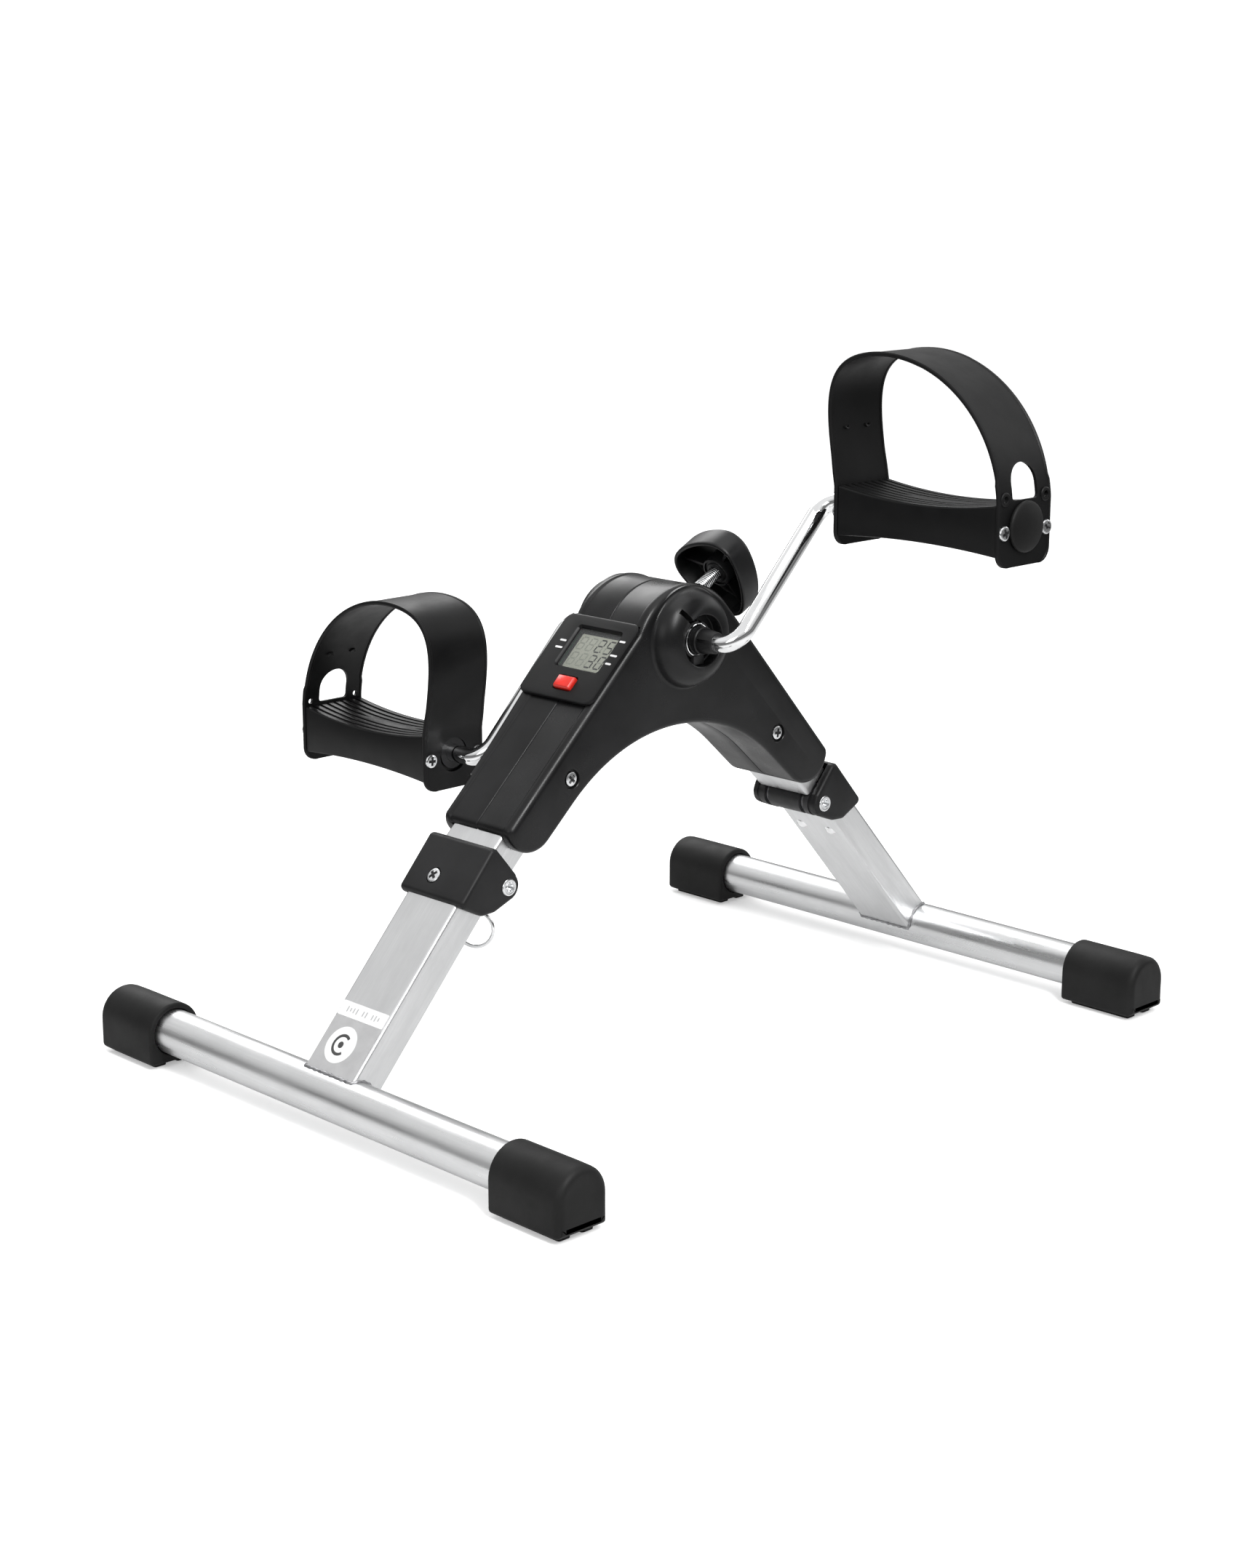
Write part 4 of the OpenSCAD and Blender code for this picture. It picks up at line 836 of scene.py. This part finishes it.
for side, word in RIGHT_LEFT:
    m, body = pedal_m(side), word + "_pedal"
    spindle = m @ ALONG_X
    stations = [P0, P0 + 0.5] + list(np.linspace(P0 + 3, P1 - 3, 34)) + [P1 - 0.5, P1]
    rings = []
    for i, x in enumerate(stations):
        k = 0.985 if i in (0, len(stations) - 1) else 1
        rings.append([(x, y * k, z * k) for y, z in pedal_section(x)])
    tread = place(word + "_tread", *loft(rings), m)
    boolean(tread, [(slab(rect(PLEN - 6, PW - 5, 2), -24, 4.5, 1.2, 3), m @ shift(PMID, 0, 0))])
    inner = [(rod(8.5, P0 + 1, P1 - 1), spindle)]
    inner += [(box(P0 + 1, P1 - 1, -1.1, 1.1, -11, 6), m)]
    inner += [(box(x - 1, x + 1, -PW / 2 + 1, PW / 2 - 1, -10, 6), m)
              for x in (P0 + 36, P1 - 36)]
    boolean(tread, inner, "UNION")
    boolean(tread, [(rod(5.6, P0 - 2, P1 + 2), spindle), (rod(7, P0 - 2, P0 + 14), spindle),
                    (rod(9.5, P1 - 5, P1 + 1), spindle)])
    finish(tread, body, M["pedal"], [body + "_body"], 32)

    strap = place(word + "_toe_strap", *strap_shape(), m)
    arch = rounded([(-10.5, 14, 2.2), (10.5, 14, 2.2), (10.5, 33, 10.4), (-10.5, 33, 10.4)], 14)
    cuts = [(rod(10, P0 - 6, P0 + 4, 64), spindle @ shift(1, 0, 0)),
            (loft([[(x, y, z) for y, z in arch] for x in (P1 - 12, P1 + 8)]), m)]
    for y, z in ADJUST:
        cuts.append((rod(1.6, P1 - 12, P1 + 6, 24), m @ shift(0, y, z) @ ALONG_X))
    boolean(strap, cuts)
    rim = [(1.75, P1 + 2.3), (1.95, P1 + 2.85), (2.5, P1 + 3.05), (3.3, P1 + 2.95),
           (3.7, P1 + 2.6), (3.8, P1 + 2.3), (1.75, P1 + 2.3)]
    rims = [place("part", *lathe(rim, 32, False), m @ shift(0, y, z) @ ALONG_X)
            for y, z in ADJUST]
    join(strap, *rims)
    finish(strap, body, M["strap"], [body + "_strap"], 35)

    dome = [(0, P1 + 0.8), (9.2, P1 + 0.8), (9.2, P1 + STRAP_T), (13.0, P1 + STRAP_T),
            (13.5, P1 + STRAP_T + 0.3), (13.6, P1 + STRAP_T + 1.0), (13.4, P1 + STRAP_T + 1.6),
            (12.9, P1 + STRAP_T + 2.05)]
    dome += [(r, P1 + STRAP_T + 4.3 - 2.2 * (r / 12.9) ** 2.2)
             for r in (12, 10.5, 8.5, 6.5, 4.5, 2.5, 1, 0)]
    cap = place(word + "_axle_cap", *lathe(dome, 72), spindle)
    # raised studs inside both arms of the strap
    line, studs = [Vector(p) for p in strap_line()], []
    for end in (-1, 1):
        at = min((i for i, q in enumerate(line[1:-1], 1) if (q.x - PMID) * end > 0),
                 key=lambda i: abs(line[i].y - STUD_Z))
        q, d = line[at], (line[at + 1] - line[at - 1]).normalized()
        inward = Vector((-d.y, d.x))
        if inward.x * end > 0:
            inward = -inward
        for y in (-STUD_Y, STUD_Y):
            path = []
            for a in np.radians(np.linspace(110, 250, 12)):
                along, off = STUD_R * math.cos(a), STRAP_T / 2
                path.append((q.x + d.x * along + inward.x * off, y + STUD_R * math.sin(a),
                             q.y + d.y * along + inward.y * off))
            studs.append(tube(path, 0.6, 8, (1, 0, 0)))
    finish(merged(word + "_strap_studs", studs, m), body, M["strap"])
    finish(cap, body, M["cap"], [body + "_cap"], 40)
    spots = [m @ shift(P1 + STRAP_T, y, -2) @ ALONG_X for y in SCREW_Y]
    spots += [m @ shift(P0 - STRAP_T, y, -2) @ turn("Y", -90) for y in SCREW_Y]
    add_screws(word + "_pedal_screw_set", spots, body, [body + "_screws"],
               4.0, 1.55, 20, (1.2, 5.2))

# ---- tension knob and bolt ----------------------------------------------

KNOB_R, LOBE_ARC, KNOB_SOFT = 27.9, 54, 1.1
W0 = 53  # height of the knob's open end on its axis


def knob_radius(t):
    """Three wide arcs cut by a circle, blended where they meet."""
    reach, c = [KNOB_R], -LOBE_ARC / math.sqrt(3)
    for a in (11, 131, 251):
        dot = math.cos(t - math.radians(a)) * c
        reach.append(dot + math.sqrt(dot * dot - c * c + LOBE_ARC ** 2))
    return -KNOB_SOFT * math.log(sum(math.exp(-r / KNOB_SOFT) for r in reach))


def knob_ring(h, d):
    ring = []
    for t in np.linspace(0, 2 * math.pi, 144, endpoint=False):
        r = knob_radius(t) - d
        ring.append((r * math.cos(t), r * math.sin(t), h))
    return ring


outer = [(W0, 0.9), (W0 + 0.25, 0.4), (W0 + 0.8, 0.1), (W0 + 2, 0), (W0 + 12.6, 0.1),
         (W0 + 13.8, 0.35), (W0 + 14.8, 1.0), (W0 + 15.5, 2.0), (W0 + 15.9, 3.4),
         (W0 + 16, 5.5), (W0 + 15.9, 8), (W0 + 15.2, 12), (W0 + 15.0, 19)]
inner = [(W0, 1.6), (W0 + 0.3, 2.2), (W0 + 1, 2.5), (W0 + 12.4, 2.9), (W0 + 13.2, 3.6),
         (W0 + 13.5, 5)]
shape = [knob_ring(*p) for p in inner[::-1]] + [knob_ring(*p) for p in outer]
knob = place("knob_shell", *loft(shape), KNOB_M)
boss = lathe([(4.05, W0 + 14), (9.4, W0 + 14), (9.1, W0 + 4.4), (8.8, W0 + 4), (7.9, W0 + 3.9),
              (7.7, W0 + 4.8), (6.4, W0 + 4.8), (6.2, W0 + 4.2), (5.9, W0 + 4.0),
              (4.4, W0 + 4.0), (4.05, W0 + 4.4), (4.05, W0 + 14)], 64, False)
webs = [place("part", *box(8.6, knob_radius(math.radians(a)) - 2.2, -0.8, 0.8, W0 + 7, W0 + 14),
              KNOB_M @ turn("Z", a)) for a in (71, 191, 311)]
join(knob, place("part", *boss, KNOB_M), *webs)
finish(knob, "knob", M["knob"], ["tension_knob"], 38)


def threaded(r, pitch, z0, z1, depth=0.28, segments=36):
    """Screw thread as one surface whose rings are shifted crests."""
    rings = []
    for z in np.arange(z0, z1, pitch / 6):
        ring = []
        for t in np.linspace(0, 2 * math.pi, segments, endpoint=False):
            phase = (z / pitch - t / (2 * math.pi)) % 1
            rr = r - depth * abs(2 * phase - 1)
            ring.append((rr * math.cos(t), rr * math.sin(t), z))
        rings.append(ring)
    return loft(rings)


bolt = place("knob_bolt", *threaded(4.0, 1.25, 22.2, 66.5), KNOB_M)
finish(bolt, "knob", M["bolt"], ["tension_bolt"], 60)

# ---- feet ---------------------------------------------------------------

BAR_Y, BAR_Z, BAR_R = 227, 19.5, 12.7
CAP_IN, CAP_OUT, CAP_R, CAP_DROP = 140, 190, 16.5, 17


def cap_outline():
    pts = arc(0, 0, CAP_R, 0, 180, 26)
    low = rounded([(-CAP_R, 0, 0), (-CAP_R, -CAP_DROP, 2.4), (CAP_R, -CAP_DROP, 2.4),
                   (CAP_R, 0, 0)], 7)
    return pts + low[1:-1]


OUT = cap_outline()
CAP_STEPS = [(CAP_IN, 1.5), (CAP_IN + 0.15, 0.9), (CAP_IN + 0.5, 0.35), (CAP_IN + 1.1, 0.05),
             (CAP_IN + 1.8, 0), (CAP_OUT - 12, 0), (CAP_OUT - 4.2, 0.15)]
CAP_STEPS += [(CAP_OUT - 4 + 4 * math.sin(a), 0.15 + 4 * (1 - math.cos(a)))
              for a in np.radians((18, 36, 52, 66, 78, 86))]
CAP_STEPS.append((CAP_OUT, 5.2))
for side, leg in FRONT_REAR:
    for end, word in RIGHT_LEFT:
        m = flip(x=end, y=side) @ shift(0, BAR_Y, BAR_Z)
        rings = [[(x, y, z) for y, z in inset(OUT, d)] for x, d in CAP_STEPS]
        cap = place(f"{leg}_{word}_foot", *loft(rings), m)
        bore = [(BAR_R + 0.9, CAP_IN - 1), (BAR_R + 0.9, CAP_IN + 0.6),
                (BAR_R + 0.05, CAP_IN + 1.6), (BAR_R + 0.05, CAP_OUT - 4)]
        boolean(cap, [(lathe(bore, 64), m @ ALONG_X)])
        pads = [place("part", *slab(rect(41, 8, 1.5, 4), -CAP_DROP - 2.5, -CAP_DROP + 0.6, 0.5, 2),
                      m @ shift(CAP_IN + 24.5, y, 0)) for y in (-7.5, 7.5)]
        join(cap, *pads)
        finish(cap, leg + "_leg", M["cap"], [f"{leg}_{word}_cap"], 38)

# ---- hinge covers -------------------------------------------------------

COVER_HALF, COVER_ROUND = 25.7, 2.4


def cover_outline():
    """(u, v) outline around the pin and over the leg."""
    pts = [(-10, COVER_TOP, 3.0), (25, COVER_TOP - 0.4, 3.0), (25.2, 19, 3),
           (21.5, 5, 4), (15.4, -1.2, 6), (5.2, -6.4, 3), (1.0, -8.2, 5), (-5.6, -6.6, 5),
           (-8.6, -0.5, 4), (-11.7, 20, 3)]
    return rounded(pts, 8)


for side, leg in FRONT_REAR:
    m = leg_m(side)
    rings = [[(x, u, v) for u, v in inset(cover_outline(), d)]
             for x, d in round_rims(-COVER_HALF, COVER_HALF, COVER_ROUND, 5)]
    cover = place(leg + "_cover", *loft(rings), m)
    boolean(cover, [(box(-20, 20, 9.4, 90, -30, LEG_OUT), m),
                    (box(-21.2, 21.2, -40, 9.5, -30, LEG_OUT + 0.1), m)])
    bosses = [(lathe([(3.05, 19.6), (7.7, 19.6), (7.7, 24.6), (3.05, 24.6)], 48),
               m @ flip(x=s) @ ALONG_X) for s in (1, -1)]
    boolean(cover, bosses, "UNION")
    boolean(cover, [(rod(3.05, -40, 40), m @ ALONG_X),
                    (lathe([(2.1, 0), (2.1, COVER_TOP - 1.25), (4.7, COVER_TOP - 1.2),
                            (4.8, COVER_TOP - 0.35), (5.6, COVER_TOP + 0.6)], 40),
                     m @ shift(*COVER_SCREW, 0))])
    finish(cover, leg + "_leg", M["cover"], [leg + "_hinge_cover"], 32)

# ---- leg details --------------------------------------------------------

for side, leg in FRONT_REAR:
    # weld bead round the foot of the leg, where it meets the bar
    m = leg_m(side)
    centre = m.inverted() @ Vector((0, side * BAR_Y, BAR_Z))
    outline = rounded([(20, LEG_IN, 2), (20, LEG_OUT, 2), (-20, LEG_OUT, 2), (-20, LEG_IN, 2)], 6)
    dense = []
    for i, a in enumerate(outline):
        b = outline[(i + 1) % len(outline)]
        n = max(1, int(math.dist(a, b) / 1.3))
        dense += [(a[0] + (b[0] - a[0]) * k / n, a[1] + (b[1] - a[1]) * k / n) for k in range(n)]
    bead, sizes = [], []
    for i, (x, v) in enumerate(dense):
        u = centre.y - math.sqrt(max(BAR_R ** 2 - (v - centre.z) ** 2, 0.5))
        bead.append((x, u - 0.2, v))
        sizes.append(0.95 + 0.28 * math.sin(i * 1.9) + 0.3 * noise.noise(Vector((x, v, i * 0.3))))
    bead.append(bead[0])
    sizes.append(sizes[0])
    weld = place(leg + "_weld", *tube(bead, sizes, 10, (0, 1, 0)), m)
    finish(weld, leg + "_leg", M["weld"], (), 60)

m = leg_m(-1)
DISC, STRIP_U = (-3, 115.5), 96.2  # where the marks sit on the front leg
labels = (("label_sheet", rect(37.5, 31, 1), 0, 116.5, 0.0, 0.07, "foil"),
          ("label_strip", rect(37.0, 8.4, 0.8), 0, STRIP_U, 0.0, 0.09, "label"),
          ("label_disc", arc(0, 0, 10.6, 0, 352.5, 48), *DISC, 0.06, 0.12, "label"))
for name, outline, x, u, z0, z1, mat in labels:
    obj = place(name, *loft([[(px, py, z) for px, py in outline] for z in (z0 - 0.02, z1)]),
                m @ shift(x, u, LEG_OUT))
    finish(obj, "front_leg", M[mat])
hoop = [(5.4 * math.cos(a), 5.4 * math.sin(a), 1.2)
        for a in np.radians(np.linspace(48, 312, 40))]
hoops = [tube(hoop, 0.85, 8, (0, 0, 1)),
         lathe([(0, 0.4), (1.9, 0.4), (1.9, 1.5), (1.6, 1.7), (0, 1.75)], 24)]
mark = merged("label_arcs", hoops, m @ shift(*DISC, LEG_OUT) @ flip(z=0.12))
finish(mark, "front_leg", M["label_mark"])
ticks = []
for i in range(11):
    if i not in (4, 7):
        h = (3.4, 2.2, 3.0)[i % 3]
        ticks.append(loft([[(-12.5 + 2.5 * i + px, STRIP_U + py, z)
                            for px, py in rect(0.8, h, 0.3, 3)] for z in (0.05, 0.115)]))
mark = merged("label_ticks", ticks, m @ shift(0, 0, LEG_OUT))
finish(mark, "front_leg", M["foil"])

# ---- carried-over CAD nodes ---------------------------------------------

KEPT = {
    "front_arm_tube": "arm_front", "rear_arm_tube": "arm_rear", "front_leg_tube": "leg_front",
    "rear_leg_tube": "leg_rear", "front_foot_bar": "bar", "rear_foot_bar": "bar",
    "front_arm_knuckle": "cast", "rear_arm_knuckle": "cast", "hub_bracket": "bracket",
    "tension_nut": "bolt", "lcd_lens": "lens", "circuit_board": "board", "battery": "cell",
    "reed_sensor": "dark", "sensor_lead": "dark", "brake_drum": "bracket",
    "drum_magnet": "magnet", "spindle_clips": "bolt", "left_pedal_bushes": "dark",
    "right_pedal_bushes": "dark", "brake_shoe": "bracket", "brake_pad": "felt",
    "front_leg_bracket": "bracket", "rear_leg_bracket": "bracket", "front_rivets": "chrome",
    "rear_rivets": "chrome", "lock_collar": "bolt", "lock_plunger": "bolt", "pull_ring": "chrome",
}
for name, mat in KEPT.items():
    mesh = NODES[name].data
    mesh.materials.clear()
    mesh.materials.append(M[mat])

# ---- floor, light and camera --------------------------------------------


def floor_material():
    """White to the camera; in reflections grey, and darker away from the object."""
    n = Nodes("studio_floor")
    seen = n.tree.nodes.new("ShaderNodeLightPath").outputs["Is Camera Ray"]
    paper = n.mix(n.remap(n.noise(3, 2), 0.3, 0.7, 0, 1), (0.90, 0.90, 0.90),
                  (0.92, 0.92, 0.92))
    reach = n.tree.nodes.new("ShaderNodeVectorMath")
    reach.operation = "LENGTH"
    n.link(n.coords, reach.inputs[0])
    far = n.remap(reach.outputs["Value"], 0.45, 1.15, 0, 1)
    n.link(n.mix(seen, n.mix(far, (0.54, 0.54, 0.54), (0.1, 0.1, 0.1)), paper),
           n.shader.inputs["Base Color"])
    n.link(n.mix(seen, n.mix(far, (0.3, 0.3, 0.3), (0.03, 0.03, 0.03)), (0.58, 0.58, 0.58)),
           n.shader.inputs["Emission Color"])
    n.shader.inputs["Roughness"].default_value = 0.8
    n.shader.inputs["Emission Strength"].default_value = 0.62
    n.shader.inputs["Specular IOR Level"].default_value = 0.2
    return n.mat


floor = place("floor", *box(-9000, 9000, -9000, 9000, -20, 0))
floor.data.materials.append(floor_material())


def area(name, spot, target, size, power):
    light = bpy.data.lights.new(name, "AREA")
    light.shape, light.size, light.size_y = "RECTANGLE", *size
    light.energy = power
    obj = bpy.data.objects.new(name, light)
    obj.location = spot
    obj.rotation_euler = (Vector(target) - Vector(spot)).to_track_quat("-Z", "Y").to_euler()
    bpy.context.scene.collection.objects.link(obj)


area("crown_light", (-1.55, 0.75, 1.45), (0, 0, 0.2), (1.2, 1.0), 15)
area("ridge_light", (1.35, -0.6, 1.5), (0, 0, 0.2), (0.3, 0.9), 24)
area("top_light", (0.2, 0.0, 2.2), (0, 0, 0.1), (1.6, 1.6), 10)
area("front_light", (0.3, -2.2, 1.0), (0, 0, 0.15), (1.2, 1.0), 5)
area("rear_light", (0.6, 2.2, 1.0), (0, 0, 0.2), (1.6, 0.8), 5)

# a gradient that the object mirrors, behind a plain white one for the camera
world = bpy.data.worlds.new("studio")
bpy.context.scene.world = world
world.use_nodes = True
tree = world.node_tree
back = tree.nodes["Background"]
back.inputs["Strength"].default_value = 0.8
where = tree.nodes.new("ShaderNodeTexCoord")
split = tree.nodes.new("ShaderNodeSeparateXYZ")
height = tree.nodes.new("ShaderNodeMapRange")
height.inputs[1].default_value, height.inputs[2].default_value = -1, 1
ramp = tree.nodes.new("ShaderNodeValToRGB")
ramp.color_ramp.elements[0].color = (0.8, 0.8, 0.8, 1)
ramp.color_ramp.elements[1].color = (1.0, 1.0, 1.0, 1)
for spot, level in ((0.5, 0.5), (0.51, 0.2), (0.58, 0.16), (0.66, 0.7), (0.8, 1.1)):
    ramp.color_ramp.elements.new(spot).color = (level, level, level, 1)
seen = tree.nodes.new("ShaderNodeLightPath")
pick = tree.nodes.new("ShaderNodeMix")
pick.data_type = "RGBA"
pick.inputs[7].default_value = (1.4, 1.4, 1.4, 1)
for a, b in ((where.outputs["Generated"], split.inputs[0]),
             (split.outputs["Z"], height.inputs[0]), (height.outputs[0], ramp.inputs[0]),
             (seen.outputs["Is Camera Ray"], pick.inputs[0]),
             (ramp.outputs[0], pick.inputs[6]), (pick.outputs[2], back.inputs["Color"])):
    tree.links.new(a, b)

camera = bpy.data.cameras.new("camera")
camera.sensor_width = 36
camera.lens = 61.26
camera.clip_start, camera.clip_end = 0.05, 60
view = bpy.data.objects.new("camera", camera)
view.location = (1.0387, -1.0278, 0.5166)
view.rotation_euler = Vector((-0.6933, 0.6776, -0.2455)).to_track_quat("-Z", "Y").to_euler()
bpy.context.scene.collection.objects.link(view)
bpy.context.scene.camera = view
bpy.context.scene.view_settings.view_transform = "Standard"
